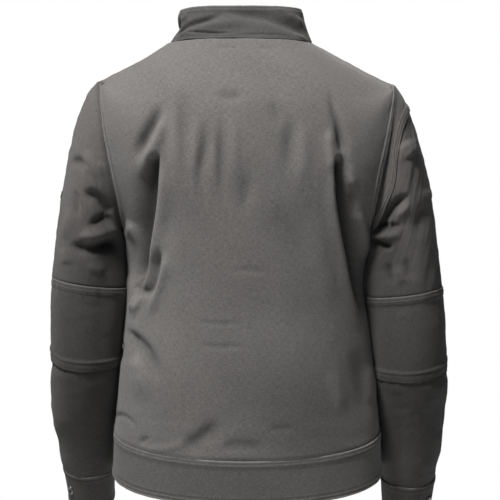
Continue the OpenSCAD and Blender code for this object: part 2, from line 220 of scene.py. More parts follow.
def collar_f(a, t):
    back = np.abs(a) < 0.5
    turn = np.pi * np.where(back, np.abs(a), 1 - np.abs(a))
    k = np.maximum(np.cos(turn), 0) ** 0.8
    s = np.sign(a)
    foot = [
        s * NECK_HALF * np.sin(turn) + NECK_X * np.where(back, 1, 2 * (1 - np.abs(a))),
        lerp(SHOULDER_Y, np.where(back, BACK_Y[0][1], FRONT_Y - 2), k),
        -lerp(2, np.where(back, 0, FRONT_DROP), np.maximum(np.cos(turn), 0)),
    ]
    lean = [
        -s * 15 * np.sin(turn) + np.where(back, 0, s * 14 * k),
        lerp(-2, np.where(back, -24, 2.6), k),
        0,
    ]
    return np.stack([foot[0] + t * lean[0], foot[1] + t * lean[1], foot[2] + 1.5 + t * COLLAR_H], -1)


def sleeve_f(side):
    def f(a, t):
        s = np.clip(t, 0, 1)
        drop = 16 * np.minimum(1, s / 0.5) if side < 0 else 0
        clear = ARMHOLE_GAP + (7 * s * s if side < 0 else 0)
        ox, od, ix, inner_d, cy, b, lean = [curve(SLEEVE_ROWS, s, k) for k in range(1, 8)]
        mx, mz = (ox + ix) / 2 + clear, -(od + inner_d) / 2 - drop
        hx, hz = (ox - ix) / 2, -(od - inner_d) / 2
        tilt = np.radians(lean)
        c, sn = np.cos(2 * np.pi * a), np.sin(2 * np.pi * a)
        over = np.maximum(t - 1, 0) * SLEEVE_RUN
        # Before the armhole the cloth turns in under the body's edge
        under = np.maximum(-t, 0) * SLEEVE_RUN
        return np.stack([
            side * (mx + c * hx - under),
            cy + sn * b * np.cos(tilt) - over * np.sin(tilt),
            mz + c * hz - sn * b * np.sin(tilt) - over * np.cos(tilt),
        ], -1)
    return f


def worn_set(p):
    """How the jacket settles when worn: its shoulders, the right one most, hang a little."""
    x, z = p[..., 0], p[..., 2]
    near = smooth(z, -330, -90)
    drop = 3.0 * smooth(np.abs(x - NECK_X), 60, 150) + 6.0 * smooth(-x, 90, 215)
    return p - np.stack([np.zeros_like(x), np.zeros_like(x), drop * near], -1)


# ---- Noise and folds ----

def lattice(i, j, seed):
    h = (i.astype(np.int64) * 374761393 + j.astype(np.int64) * 668265263 + seed * 974634777) & 0xFFFFFFFF
    h = ((h ^ (h >> 13)) * 1274126177) & 0xFFFFFFFF
    return ((h ^ (h >> 16)) & 0xFFFF) / 32767.5 - 1


def noise(x, y, seed, octaves=1):
    total, share = 0.0, 1.0
    for o in range(octaves):
        i, j = np.floor(x), np.floor(y)
        fx, fy = x - i, y - j
        fx, fy = fx * fx * (3 - 2 * fx), fy * fy * (3 - 2 * fy)
        top = lerp(lattice(i, j, seed + o), lattice(i + 1, j, seed + o), fx)
        low = lerp(lattice(i, j + 1, seed + o), lattice(i + 1, j + 1, seed + o), fx)
        total = total + share * lerp(top, low, fy)
        x, y, share = x * 2.03 + 7.1, y * 2.03 + 3.7, share * 0.5
    return total


def smooth_path(points, n=60):
    """Points along a smooth curve through a fold's control points."""
    p = np.asarray(points, float)
    if len(p) == 2:
        return lerp(p[0], p[1], np.linspace(0, 1, n)[:, None])
    at = walked(p)
    s = np.linspace(0, at[-1], n)
    return np.stack([curve(np.stack([at, p[:, k]], 1), s) for k in range(p.shape[1])], 1)


def folds(x, z, marks, scale=(1, 1)):
    """Height of a set of folds at each place. Each has its path as pairs of numbers, its half width, its height,
    the share of its length over which it starts and ends, and its lip, the rim that stands up along it. Of a
    pair of half widths the first is on the -x side of a path that runs down."""
    total = np.zeros_like(x)
    for path, width, height, start, end, lip in marks:
        widths = np.broadcast_to(np.asarray(width, float), (2,))
        line = smooth_path(np.reshape(path, (-1, 2)) * scale)
        s = np.linspace(0, 1, len(line))
        along = np.gradient(line, axis=0)
        low, high = line.min(0) - 4 * widths.max(), line.max(0) + 4 * widths.max()
        near = (x > low[0]) & (x < high[0]) & (z > low[1]) & (z < high[1])
        px, pz = x[near], z[near]
        dx, dz = px[:, None] - line[None, :, 0], pz[:, None] - line[None, :, 1]
        d2 = dx ** 2 + dz ** 2
        i = d2.argmin(1)
        row = np.arange(len(i))
        across = along[i, 0] * dz[row, i] - along[i, 1] * dx[row, i]
        taper = 0.5 + 0.5 * smooth(s[i], 0, 0.3)
        q2 = d2[row, i] / (np.where(across > 0, widths[1], widths[0]) * taper) ** 2
        at = s[i]
        fade = smooth(at, 0, max(start, 1e-3)) * smooth(1 - at, 0, max(end, 1e-3))
        total[near] += height * fade * (1 - lip * q2) * np.exp(-q2)
    return total


# ---- Cloth as grids of points ----

class Patch:
    """A panel of cloth: a grid of points in millimetres, with its normals and its lengths along and across."""

    def __init__(self, f, us, vs, out=1):
        self.out = out
        self.grid(us, vs)
        step = 1e-3

        def shape(du, dv):
            return worn_set(f(self.u + du, self.v + dv))

        self.p = shape(0, 0)
        self.face(shape(step, 0) - shape(-step, 0), shape(0, step) - shape(0, -step))
        self.measure()

    def grid(self, us, vs):
        self.u, self.v = np.meshgrid(np.asarray(us, float), np.asarray(vs, float))
        self.wear_and_shade = np.zeros(self.u.shape)

    def face(self, along_u, along_v):
        self.n = unit(np.cross(along_u, along_v) * self.out)
        return self

    def settle(self):
        """Works out the normals again after the shape has changed."""
        return self.face(np.gradient(self.p, axis=1), np.gradient(self.p, axis=0))

    def measure(self):
        """Works out how far each point is from the four edges, along the cloth."""
        self.left, self.top = (
            np.linalg.norm(np.diff(self.p, axis=k, prepend=self.p.take([0], k)), axis=2).cumsum(k) for k in (1, 0)
        )
        self.right, self.low = self.left[:, -1:] - self.left, self.top[-1:] - self.top

    def relax(self, row, half, times):
        """Eases the cloth where its rows change direction, and leaves its edges in place."""
        inside = smooth(self.side_inset(), 3, 30)
        weight = (0.9 * bump(self.v, row, half) * inside)[1:-1, :, None]
        for _ in range(times):
            middle = (self.p[:-2] + self.p[2:]) / 2
            self.p[1:-1] += weight * (middle - self.p[1:-1])
        return self.settle()

    def side_inset(self):
        return np.minimum(self.left, self.right)

    def lift(self, height):
        self.p = self.p + self.n * height[..., None]

    def at(self, r, c, array):
        """An array's values between grid points."""
        r = np.clip(r, 0, array.shape[0] - 1.001)
        c = np.clip(c, 0, array.shape[1] - 1.001)
        i, j = r.astype(int), c.astype(int)
        fr, fc = (r - i)[:, None], (c - j)[:, None]
        a = lerp(array[i, j], array[i, j + 1], fc)
        return lerp(a, lerp(array[i + 1, j], array[i + 1, j + 1], fc), fr)

    def line(self, side, inset, start=0.0, stop=1.0):
        """Grid places along a line that keeps its distance from one edge."""
        down = side in ("left", "right")
        sign = 1 if side in ("left", "top") else -1
        table = sign * (getattr(self, side) if down else getattr(self, side).T)
        n, m = table.shape
        along = np.linspace(start * (n - 1), stop * (n - 1), 2 * n)
        across = np.interp(along, np.arange(n), [np.interp(sign * inset, row, np.arange(m)) for row in table])
        return (along, across) if down else (across, along)

    def across(self, u, v):
        """Grid places of points given by their u and v."""
        rows, cols = self.u.shape
        return np.interp(v, self.v[:, 0], np.arange(rows)), np.interp(u, self.u[0], np.arange(cols))

    def area(self):
        a = self.p[1:, 1:] - self.p[:-1, :-1]
        b = self.p[1:, :-1] - self.p[:-1, 1:]
        return float(np.linalg.norm(np.cross(a, b), axis=-1).sum() / 2)


def laid_on(base, us, vs, place=lambda u, v: (u, v)):
    """A patch that lies on another one: place gives where on it each of its points is."""
    new = copy.copy(base)
    new.grid(us, vs)
    u, v = place(new.u, new.v)
    new.p = base.at(*base.across(u.ravel(), v.ravel()), base.p).reshape(new.u.shape + (3,))
    new.settle().measure()
    return new


def new_object(name, points, faces):
    mesh = bpy.data.meshes.new(name)
    mesh.from_pydata(np.asarray(points, float).tolist(), [], [tuple(int(i) for i in f) for f in faces])
    mesh.validate()
    mesh.update()
    mesh.polygons.foreach_set("use_smooth", [True] * len(mesh.polygons))
    obj = bpy.data.objects.new(name, mesh)
    scene.collection.objects.link(obj)
    return obj


def cloth(name, patch, thickness):
    """A closed sheet from a patch, with rounded edges, and the values that the materials read."""
    patch.settle()
    rows, cols = patch.u.shape
    n = rows * cols
    half = thickness / 2
    index = np.arange(n).reshape(rows, cols)
    ring = np.concatenate([index[0], index[1:, -1], index[-1, -2::-1], index[-2:0:-1, 0]])
    r, c = np.divmod(ring, cols)
    inset = index[np.clip(r, 1, rows - 2), np.clip(c, 1, cols - 2)]
    flat, normal = patch.p.reshape(-1, 3), patch.n.reshape(-1, 3)
    up = normal[ring]
    away = flat[ring] - flat[inset]
    away = unit(away - (away * up).sum(1, keepdims=True) * up)
    middle = flat[ring] - up * half
    rims = [middle + away * half * 0.85 + up * half * s for s in (0.55, -0.55)]
    points = np.concatenate([flat, flat - normal * thickness] + rims)
    quads = np.stack([index[:-1, :-1], index[:-1, 1:], index[1:, 1:], index[1:, :-1]], -1).reshape(-1, 4)
    k = np.arange(len(ring))
    levels = [ring, 2 * n + k, 2 * n + len(ring) + k, ring + n]
    walls = [np.stack([lo, hi, np.roll(hi, -1), np.roll(lo, -1)], -1) for lo, hi in zip(levels, levels[1:])]
    faces = np.concatenate([quads, quads[:, [0, 3, 2, 1]] + n] + walls)
    obj = new_object(name, points * MM, faces[:, ::-1] if patch.out < 0 else faces)
    place = np.stack([patch.left - patch.left[:, -1:] / 2, patch.top, 0 * patch.top], -1).reshape(-1, 3) * MM
    wear_and_shade = patch.wear_and_shade.ravel()
    for key, kind, field, values in (
        ("cloth", "FLOAT_VECTOR", "vector", [place, place, place[ring], place[ring]]),
        ("wear_and_shade", "FLOAT", "value", [wear_and_shade, wear_and_shade * 0, wear_and_shade[ring] + 0.25, wear_and_shade[ring] * 0]),
    ):
        layer = obj.data.attributes.new(key, kind, "POINT")
        layer.data.foreach_set(field, np.concatenate(values).ravel().astype(np.float32))
    return obj


# ---- Seams ----

def felled(s, height, rows=ROWS):
    """Relief of a turned and stitched edge at a distance s in from it."""
    plateau = height * (1 - smooth(s, rows[-1] + 1.2, rows[-1] + 5))
    puff = 0.35 * bump(s, sum(rows) / len(rows), 2.0)
    grooves = sum(0.45 * bump(s, r, 0.9) for r in rows)
    return plateau + puff - grooves


def lapped(s, height, rows=ROWS):
    """Relief of a seam where the cloth at s > 0 lies over the cloth at s < 0."""
    return felled(np.maximum(s, 0), height, rows) * smooth(s, -0.7, 0.7)


def pucker(s, along, seed, reach=16, pitch=9.0, height=0.35):
    """Small ripples that run out from a stitched edge."""
    ripple = noise(along / pitch, s / 40, seed, 2)
    return height * ripple * np.exp(-(s / reach) ** 2)

def ridge_wear_and_shade(s, rows=ROWS):
    """How rubbed a stitched edge is, with painted light: pale at its fold where it rubs, a painted highlight
    between its rows, and painted shade in their grooves.
    """
    grooves = sum(bump(s, r, 1.5) for r in rows)
    return 1.0 * bump(s, 0.7, 1.1) + 0.36 * bump(s, sum(rows) / len(rows), 2.2) - 0.5 * grooves


def crease_painted_shade(height):
    """Painted shade down in the folds and a painted highlight along their tops."""
    return np.clip(0.042 * height, -0.7, 0.2)


threads = {}


def topstitch(group, patch, place, pitch=3.3):
    """Adds a row of stitches along a line of grid places."""
    points, normals = (patch.at(*place, array) for array in (patch.p, patch.n))
    at = walked(points)
    count = int(at[-1] / pitch)
    if count < 2:
        return
    s = (np.arange(count) + 0.5) * at[-1] / count
    reach = 0.38 * pitch

    def sample(x, a):
        return np.stack([np.interp(x, at, a[:, k]) for k in range(3)], 1)

    half = (sample(s + reach, points) - sample(s - reach, points)) / 2
    threads.setdefault(group, []).append((sample(s, points), half, sample(s, normals)))


def band(lo, hi, n):
    """Faces between two rings of n points that start at lo and hi."""
    return [(lo + i, lo + (i + 1) % n, hi + (i + 1) % n, hi + i) for i in range(n)]


def tube(rings, n, start=0):
    """Faces between rings of n points each that follow one another."""
    return [face for k in range(rings - 1) for face in band(start + k * n, start + (k + 1) * n, n)]


def closed(rings, n):
    """A tube with a face over each end."""
    ends = range((rings - 1) * n, rings * n)
    return tube(rings, n) + [tuple(range(n))[::-1], tuple(ends)]


def flipped(faces):
    return [face[::-1] for face in faces]


def stitch_object(name, group, radius=0.36):
    """All the stitches of a group: small closed pods of thread."""
    centre, half, up = (np.concatenate(x) for x in zip(*threads[group]))
    up = unit(up)
    sideways = unit(np.cross(half, up))
    stations = [(-1, 0.35, -0.25), (-0.62, 0.9, 0.2), (0, 1, 0.32), (0.62, 0.9, 0.2), (1, 0.35, -0.25)]
    sides = 6
    points = np.stack([
        centre + half * along
        + sideways * (radius * width * math.cos(angle))
        + up * (radius * (width * math.sin(angle) + lifted))
        for along, width, lifted in stations for angle in circle(sides)
    ], 1)
    end = (len(stations) - 1) * sides
    caps = [(0, 3, 2, 1), (0, 5, 4, 3), (end, end + 1, end + 2, end + 3), (end, end + 3, end + 4, end + 5)]
    every = (np.arange(len(centre)) * points.shape[1])[:, None, None] + np.array(tube(len(stations), sides) + caps)
    return new_object(name, points.reshape(-1, 3) * MM, every.reshape(-1, 4))


# ---- Materials ----

class Look:
    """A procedural material being built."""

    def __init__(self, name, slot, **values):
        self.material, self.slot = bpy.data.materials.new(name), slot
        self.material.use_nodes = True
        self.tree = self.material.node_tree
        self.shader = self.tree.nodes["Principled BSDF"]
        self.fill(self.shader, {socket.replace("_", " "): value for socket, value in values.items()})

    def fill(self, n, inputs):
        """Links or sets a node's inputs."""
        for key, value in inputs.items():
            if isinstance(value, bpy.types.NodeSocket):
                self.tree.links.new(value, n.inputs[key])
            elif value is not None:
                n.inputs[key].default_value = value
        return n

    def node(self, kind, *inputs, named=None, **settings):
        n = self.tree.nodes.new("ShaderNode" + kind)
        for name, value in settings.items():
            setattr(n, name, value)
        return self.fill(n, {**dict(enumerate(inputs)), **(named or {})})

    def out(self, *args, **settings):
        return self.node(*args, **settings).outputs[0]

    def math(self, op, a, b=None):
        return self.out("Math", a, b, operation=op)

    def times(self, a, b):
        return self.math("MULTIPLY", a, b)

    def sum(self, a, share_a, b, share_b):
        return self.math("ADD", self.times(a, share_a), self.times(b, share_b))

    def wave(self, along, pitch):
        """A sine wave along a value, its pitch in millimetres."""
        return self.math("SINE", self.times(along, 2 * math.pi / (pitch * MM)))

    def noise(self, vector, scale, detail=2.0, rough=0.5, stretch=None):
        if stretch:
            vector = self.out("Mapping", vector, named={"Scale": stretch})
        return self.out("TexNoise", vector, named={"Scale": scale, "Detail": detail, "Roughness": rough})

    def spread(self, value, low, high, to_low, to_high):
        return self.out("MapRange", value, low, high, to_low, to_high)

    def tint(self, factor, a, b):
        return self.node("Mix", factor, data_type="RGBA", named={6: (*a, 1), 7: (*b, 1)}).outputs[2]

    def relief(self, height, distance, strength=1.0, under=None):
        return self.out("Bump", named={
            "Strength": strength, "Distance": distance, "Height": height, "Normal": under,
        })

    def done(self, colour, rough=None, normal=None):
        self.fill(self.shader, {"Base Color": colour, "Roughness": rough, "Normal": normal})
        return self


def canvas_look(name, base, warm, slub=0.3, pitch=1.3):
    """Plain-woven duck: two yarn directions with slubs, heather, worn edges with painted shade and highlights, and
    a soft nap.
    """
    k = Look(name, "canvas", Sheen_Weight=0.12, Sheen_Roughness=0.6, Specular_IOR_Level=0.22)
    where = k.node("Attribute", attribute_name="cloth").outputs["Vector"]
    worn_and_shaded = k.node("Attribute", attribute_name="wear_and_shade").outputs["Fac"]
    parts = k.node("SeparateXYZ", where)
    weave = k.times(*(k.wave(parts.outputs[i], pitch) for i in (0, 1)))
    weft, warp = (k.noise(where, 1000, 2, 0.6, stretch=s) for s in ((0.15, 1, 1), (1, 0.15, 1)))
    speck = k.noise(where, 1500, 1, 0.6)
    cloud = k.noise(where, 11, 3, 0.55)
    yarn = k.sum(weft, 0.56, warp, 0.44)
    tone = k.spread(yarn, 0.36, 0.64, 1 - slub, 1 + slub)
    for value, low, high, amount in ((speck, 0.3, 0.7, 0.14), (cloud, 0.3, 0.7, 0.07), (weave, -1, 1, 0.07)):
        tone = k.times(tone, k.spread(value, low, high, 1 - amount, 1 + amount))
    # The value read from the mesh lightens rubbed places and painted highlights, and darkens painted shade
    tone = k.times(tone, k.math("ADD", k.times(worn_and_shaded, 0.9), 1.0))
    tinted = k.tint(k.noise(where, 5, 2), base, warm)
    colour = k.out("VectorMath", tinted, operation="SCALE", named={"Scale": tone})
    fine = k.relief(k.math("ADD", weave, k.times(yarn, 3.0)), 0.00012, 0.8)
    return k.done(colour, k.spread(speck, 0.3, 0.7, 0.8, 0.95), k.relief(speck, 0.00018, 0.6, fine))


def twill_look(name, slot, base, light, pitch=1.1):
    """Smooth lining with a diagonal twill line."""
    k = Look(name, slot, Sheen_Weight=0.2, Specular_IOR_Level=0.4)
    where = k.node("Attribute", attribute_name="cloth").outputs["Vector"]
    parts = k.node("SeparateXYZ", where)
    line = k.wave(k.math("ADD", parts.outputs[0], parts.outputs[1]), pitch)
    speck = k.noise(where, 900, 2, 0.6)
    cloud = k.noise(where, 14, 3)
    tone = k.math("ADD", k.sum(line, 0.12, speck, 0.5), k.times(cloud, 0.5))
    colour = k.tint(k.spread(tone, 0.2, 0.8, 0, 1), base, light)
    return k.done(colour, k.spread(speck, 0.3, 0.7, 0.5, 0.7), k.relief(line, 0.0001, 0.6))


def metal_look(name, slot, base, dark, rough):
    """Worn metal: brushed grain, dulled hollows and brighter rubbed places."""
    k = Look(name, slot, Metallic=1.0)
    where = k.node("TexCoord").outputs["Object"]
    brushed = k.noise(where, 2600, 2, 0.6, stretch=(1, 1, 0.08))
    cloud = k.noise(where, 240, 4, 0.6)
    colour = k.tint(k.spread(k.sum(brushed, 0.4, cloud, 0.6), 0.35, 0.62, 0, 1), dark, base)
    roughness = k.spread(cloud, 0.3, 0.7, rough - 0.08, rough + 0.14)
    return k.done(colour, roughness, k.relief(brushed, 0.00006, 0.5))


def thread_look(name, base, light):
    """Twisted sewing thread."""
    k = Look(name, "canvas", Sheen_Weight=0.25, Specular_IOR_Level=0.3)
    where = k.node("TexCoord").outputs["Object"]
    twist = k.noise(where, 3500, 1)
    mix = k.sum(twist, 0.6, k.noise(where, 60, 2), 0.4)
    colour = k.tint(k.spread(mix, 0.35, 0.65, 0, 1), base, light)
    return k.done(colour, k.spread(twist, 0.3, 0.7, 0.6, 0.8), k.relief(twist, 0.0001, 0.6))


BODY = canvas_look("charcoal_canvas", (0.150, 0.147, 0.142), (0.155, 0.144, 0.138))
# The sleeves' canvas is a darker copy of the body's: painted shade
SHADED_SLEEVE = canvas_look("charcoal_canvas_sleeve_painted_shade", (0.118, 0.113, 0.108), (0.121, 0.110, 0.105))
TRIM = canvas_look("charcoal_canvas_trim", (0.112, 0.110, 0.106), (0.114, 0.107, 0.103))
INSIDE = twill_look("twill_lining", "lining", (0.018, 0.018, 0.020), (0.045, 0.045, 0.048))
# The collar's canvas is darker than the body's: a painted shadow
SHADOWED_COLLAR = canvas_look("charcoal_canvas_collar_painted_shadow", (0.076, 0.075, 0.073), (0.078, 0.074, 0.071))
TAPE = twill_look("woven_tape", "tape", (0.012, 0.012, 0.013), (0.035, 0.034, 0.033), 1.6)
BRASS = metal_look("antique_brass", "zip_metal", (0.62, 0.46, 0.22), (0.24, 0.16, 0.07), 0.34)
STEEL = metal_look("gunmetal", "snap_metal", (0.34, 0.34, 0.35), (0.10, 0.10, 0.11), 0.38)
THREAD = thread_look("charcoal_thread", (0.075, 0.072, 0.069), (0.16, 0.155, 0.15))


# ---- Pieces ----

def finish_piece(obj, look, node=None, moves="jacket"):
    """Gives a piece its material, hides the node it stands for, and parents it to the body it rides on; a piece
    with a blend only has its transform applied.
    """
    obj.data.materials.append(look.material)
    if node:
        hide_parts(node)
    if isinstance(moves, str):
        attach(obj, moves)
    else:
        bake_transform(obj)


def sew(name, patch, thickness, look, node=None, group="body", rows=(), sheet=True):
    """A piece of cloth with its rows of stitches, each given by edges, distances in, and start and stop."""
    obj = cloth(name, patch, thickness)
    for sides, insets, *reach in rows:
        for side in sides.split():
            for inset in insets:
                topstitch(group, patch, patch.line(side, inset, *reach))
    finish_piece(obj, look, node, MOVES[group])
    if sheet:
        w, l = (round(float(x) * MM + 0.0005, 3) for x in (patch.left[:, -1].max(), patch.top[-1].max()))
        area = round(min(patch.area() * 1e-6, w * l), 4)


SIDES = ((1, "left"), (-1, "right"))
# What each group of pieces moves with: a body, or a blend from one body to the next
MOVES = {
    "body": "jacket", "hem": "jacket", "collar": "jacket",
    "flap": ("jacket", "chest_flap", (0.1201, -0.1082, -0.1937), (0.1201, -0.112, -0.2037)),
}
for side, word in SIDES:
    arm, forearm = word + "_upper_arm", word + "_forearm"
    drop = 0 if side > 0 else -0.016
    MOVES["upper_" + word] = ("jacket", arm, (0, 0, -0.225 + drop / 2), (0, 0, -0.330 + drop / 2))
    MOVES["elbow_" + word] = (arm, forearm, (0, 0, -0.365 + drop), (0, 0, -0.455 + drop))
    MOVES["cuff_" + word] = forearm

# ---- Body panels ----

SEAM_ROWS, FRONT_ROWS = (2.6, 8.8), (3, 9.5)


def side_swell(v, s):
    """How far the cloth under the arms stands out to meet the sleeve, at a distance s from the side seam."""
    below = smooth(v, V_ARMPIT - 0.05, V_ARMPIT - 0.01) * (1 - smooth(v, 0.60, 0.86))
    return 4.0 * below * (1 - smooth(s, 12, 46))


BACK_FOLDS = [
    # Diagonal pull from each shoulder blade towards the underarm
    ([118, -88, 131, -120, 146, -150, 160, -182], (6, 9), -11, 0.45, 0.35, 0.1),
    ([112, -104, 124, -138, 140, -174, 152, -208], (9, 9), 7.0, 0.3, 0.3, 0.1),
    ([-129, -98, -131, -130, -134, -152, -142, -182, -148, -210], (7, 5), -6.0, 0.45, 0.25, 0.2),
    ([-116, -128, -118, -160, -122, -196], 7, 4.5, 0.3, 0.3, 0.1),
    ([-136, -150, -147, -200, -151, -214], (7, 7), 4.0, 0.3, 0.1, 0.0),
    # Deep side folds: the back rolls over a crisp edge that runs to the waist
    ([124, -164, 129, -190, 135, -240, 145, -300, 153, -348, 158, -368], (4.5, 20), -20, 0.08, 0.2, 0.0),
    ([118, -172, 123, -240, 133, -300, 140, -336], (12, 5), 5.5, 0.25, 0.3, 0.0),
    ([122, -296, 127, -330, 136, -362, 150, -368, 168, -355], (5, 11), -9.0, 0.3, 0.25, 0.1),
    ([112, -300, 116, -330, 128, -366, 141, -408], (7, 5), 5.5, 0.3, 0.3, 0.0),
    ([-127, -168, -129, -196, -137, -250, -150, -312, -163, -376, -175, -420],
     (17, 4.5), -21, 0.06, 0.4, 0.0),
    ([-120, -176, -124, -240, -137, -310, -152, -380, -166, -430], (5, 12), 4.5, 0.25, 0.4, 0.0),
    # Folded edges that leave the underarms
    ([177, -262, 166, -278, 159, -300, 160, -330, 166, -352], (6, 8), 7.0, 0.2, 0.3, 0.0),
    ([-158, -232, -164, -258, -171, -290, -178, -330], (7, 6), 5.5, 0.3, 0.3, 0.0),
    ([-152, -216, -156, -240, -164, -262], (6, 6), -4.0, 0.3, 0.3, 0.0),
    # Soft drapes down the middle
    ([46, -80, 22, -87, 0, -78], 8, -3.0, 0.4, 0.4, 0.2),
    ([92, -66, 89, -120, 84, -190], 11, -3.6, 0.4, 0.5, 0.2),
    ([104, -80, 102, -150, 96, -230], 10, 3.6, 0.4, 0.5, 0.1),
    ([75, -110, 73, -160, 72, -230], 9, 3.0, 0.4, 0.5, 0.1),
    ([62, -104, 58, -150, 66, -196, 60, -250], 8, -4.6, 0.4, 0.5, 0.1),
    ([47, -120, 46, -170, 44, -230], 7, 2.6, 0.4, 0.5, 0.1),
    ([37, -112, 35, -170, 34, -236], 8, -3.4, 0.4, 0.5, 0.1),
    ([22, -104, 18, -160, 14, -220], 9, 2.8, 0.4, 0.5, 0.1),
    ([6, -186, 0, -216, 8, -262], 9, -3.0, 0.4, 0.5, 0.0),
    ([-32, -90, -42, -108, -46, -136], 8, -2.8, 0.4, 0.5, 0.2),
    ([-58, -108, -61, -150, -56, -200], 10, -4.2, 0.4, 0.5, 0.1),
    ([-76, -110, -80, -160, -76, -230], 11, 3.2, 0.4, 0.5, 0.0),
    ([-119, -64, -124, -104, -134, -146, -145, -190], 6, -4.6, 0.4, 0.3, 0.1),
    ([-96, -230, -108, -330, -122, -420], 20, 3.4, 0.4, 0.5, 0.1),
    ([-30, -230, -60, -270, -84, -330], 15, -2.0, 0.4, 0.5, 0.1),
    ([100, -250, 110, -330, 128, -400], 18, 3.0, 0.4, 0.5, 0.1),
    # Faint creases across the small of the back
    ([74, -404, 40, -408, -2, -406], 3.6, -1.5, 0.3, 0.4, 0.5),
    ([70, -438, 34, -441, -4, -439], 3.6, -1.6, 0.3, 0.4, 0.5),
    ([30, -330, -40, -334], 5, -1.0, 0.4, 0.4, 0.4),
    # Lower folds above the hem
    ([170, -384, 152, -390], 12, 6.0, 0.3, 0.3, 0.0),
    ([178, -424, 158, -438, 140, -455, 120, -498], (9, 12), -8.5, 0.25, 0.4, 0.1),
    ([158, -452, 152, -490, 150, -530], 13, 7.0, 0.3, 0.5, 0.0),
    ([186, -440, 188, -480], 8, -3.0, 0.3, 0.4, 0.0),
    ([200, -563, 186, -552, 172, -554, 158, -566], 3.4, -3.2, 0.2, 0.3, 0.4),
    ([158, -586, 140, -576], 4.2, -3.0, 0.3, 0.3, 0.4),
    ([160, -594, 120, -590, 84, -580], 5.0, 2.6, 0.3, 0.3, 0.0),
    ([94, -592, 66, -572, 36, -546], (10, 14), -6.5, 0.3, 0.4, 0.1),
    ([40, -586, 10, -582, -30, -588], 9.0, -3.0, 0.3, 0.3, 0.0),
    ([-30, -560, -70, -556], 5, -1.8, 0.3, 0.4, 0.4),
    ([-118, -470, -126, -500, -140, -548], 11, 3.6, 0.4, 0.4, 0.0),
    ([-150, -440, -166, -500, -172, -560], 13, -3.6, 0.4, 0.4, 0.0),
    ([-176, -470, -186, -540], 10, 3.6, 0.4, 0.4, 0.0),
    # Puckers under the collar seam
    ([46, -12, 28, -13, 8, -12], 2.6, -1.8, 0.3, 0.3, 0.5),
    ([-14, -13, -30, -14, -50, -12], 2.6, -1.8, 0.3, 0.3, 0.5),
]


def rolled_edge(s, v):
    """The armhole edge rolls down on to the sleeve."""
    arm = smooth(v, V_SHOULDER - 0.02, V_SHOULDER) * (1 - smooth(v, V_ARMPIT - 0.03, V_ARMPIT))
    return 3.0 * (1 - smooth(s, 0, 2.6)) * arm


def beside_arm(v):
    """1 along the armhole, 0 along the shoulder and the side."""
    return smooth(v, V_SHOULDER - 0.01, V_SHOULDER + 0.02) * (1 - smooth(v, V_ARMPIT - 0.03, V_ARMPIT + 0.02))


def unevenness(patch, seed, amount=1.0):
    x, y = patch.left, patch.top
    return amount * (1.3 * noise(x / 95, y / 120, seed, 2) + 0.28 * noise(x / 26, y / 30, seed + 9, 2))


BODY_VS = span(0, 1.012, 182)
BACK_US, FRONT_US = dense_edges(-1, 1, 231), span(0, 1, 110, 1.3)

back = Patch(back_f, BACK_US, BODY_VS).relax(V_ARMPIT, 0.12, 90)
x, z, v, arm = back.p[..., 0], back.p[..., 2], back.v, beside_arm(back.v)
marked = folds(x, z, BACK_FOLDS)
relief = marked + unevenness(back, 21) + side_swell(v, back.side_inset())
# Painted shade in the folds and a painted highlight along their tops, and a line of painted shade above the hem
# seam
back.wear_and_shade = crease_painted_shade(marked) - 0.45 * bump(back.low, 8.4, 1.5)
for s, seed in ((back.left, 3), (back.right, 5)):
    relief += felled(s, 0.9 + arm, SEAM_ROWS) + pucker(s - 9, back.top, seed) - rolled_edge(s, v)
    back.wear_and_shade += ridge_wear_and_shade(s, SEAM_ROWS) * (0.35 + 0.65 * arm)
    # Painted shade along the sides just below the armholes
    back.wear_and_shade -= 0.5 * (1 - smooth(s, 3, 24)) * bump(v, V_ARMPIT + 0.05, 0.11)
# A painted highlight lightens the left of the waist; the colour is darker low on the right
for shade, cx, rx, cz, rz in ((0.14, 140, 50, -400, 130), (-0.36, -80, 90, -560, 75), (-0.2, -150, 50, -455, 70)):
    back.wear_and_shade += shade * bump(x, cx, rx) * bump(z, cz, rz)
# The cloth blouses out over the waist
for height, cx, rx, cz, rz in ((7, 110, 80, -470, 80), (8, -60, 110, -470, 75), (5, 20, 120, -360, 100)):
    relief += height * bump(x, cx, rx) * bump(z, cz, rz)
relief += 0.7 * noise(x / 60, z / 16, 77, 2) * bump(z, -575, 45)
relief += 2.4 * (smooth(back.low, 0, 7) - 1)
relief += felled(back.top, 0.5, (1.8, 5)) * (v < 0.06) * 0.4
back.lift(relief)
sew("back_cloth", back, CANVAS, BODY, "back_panel", rows=[("left right", SEAM_ROWS, 0.15, 0.985)])

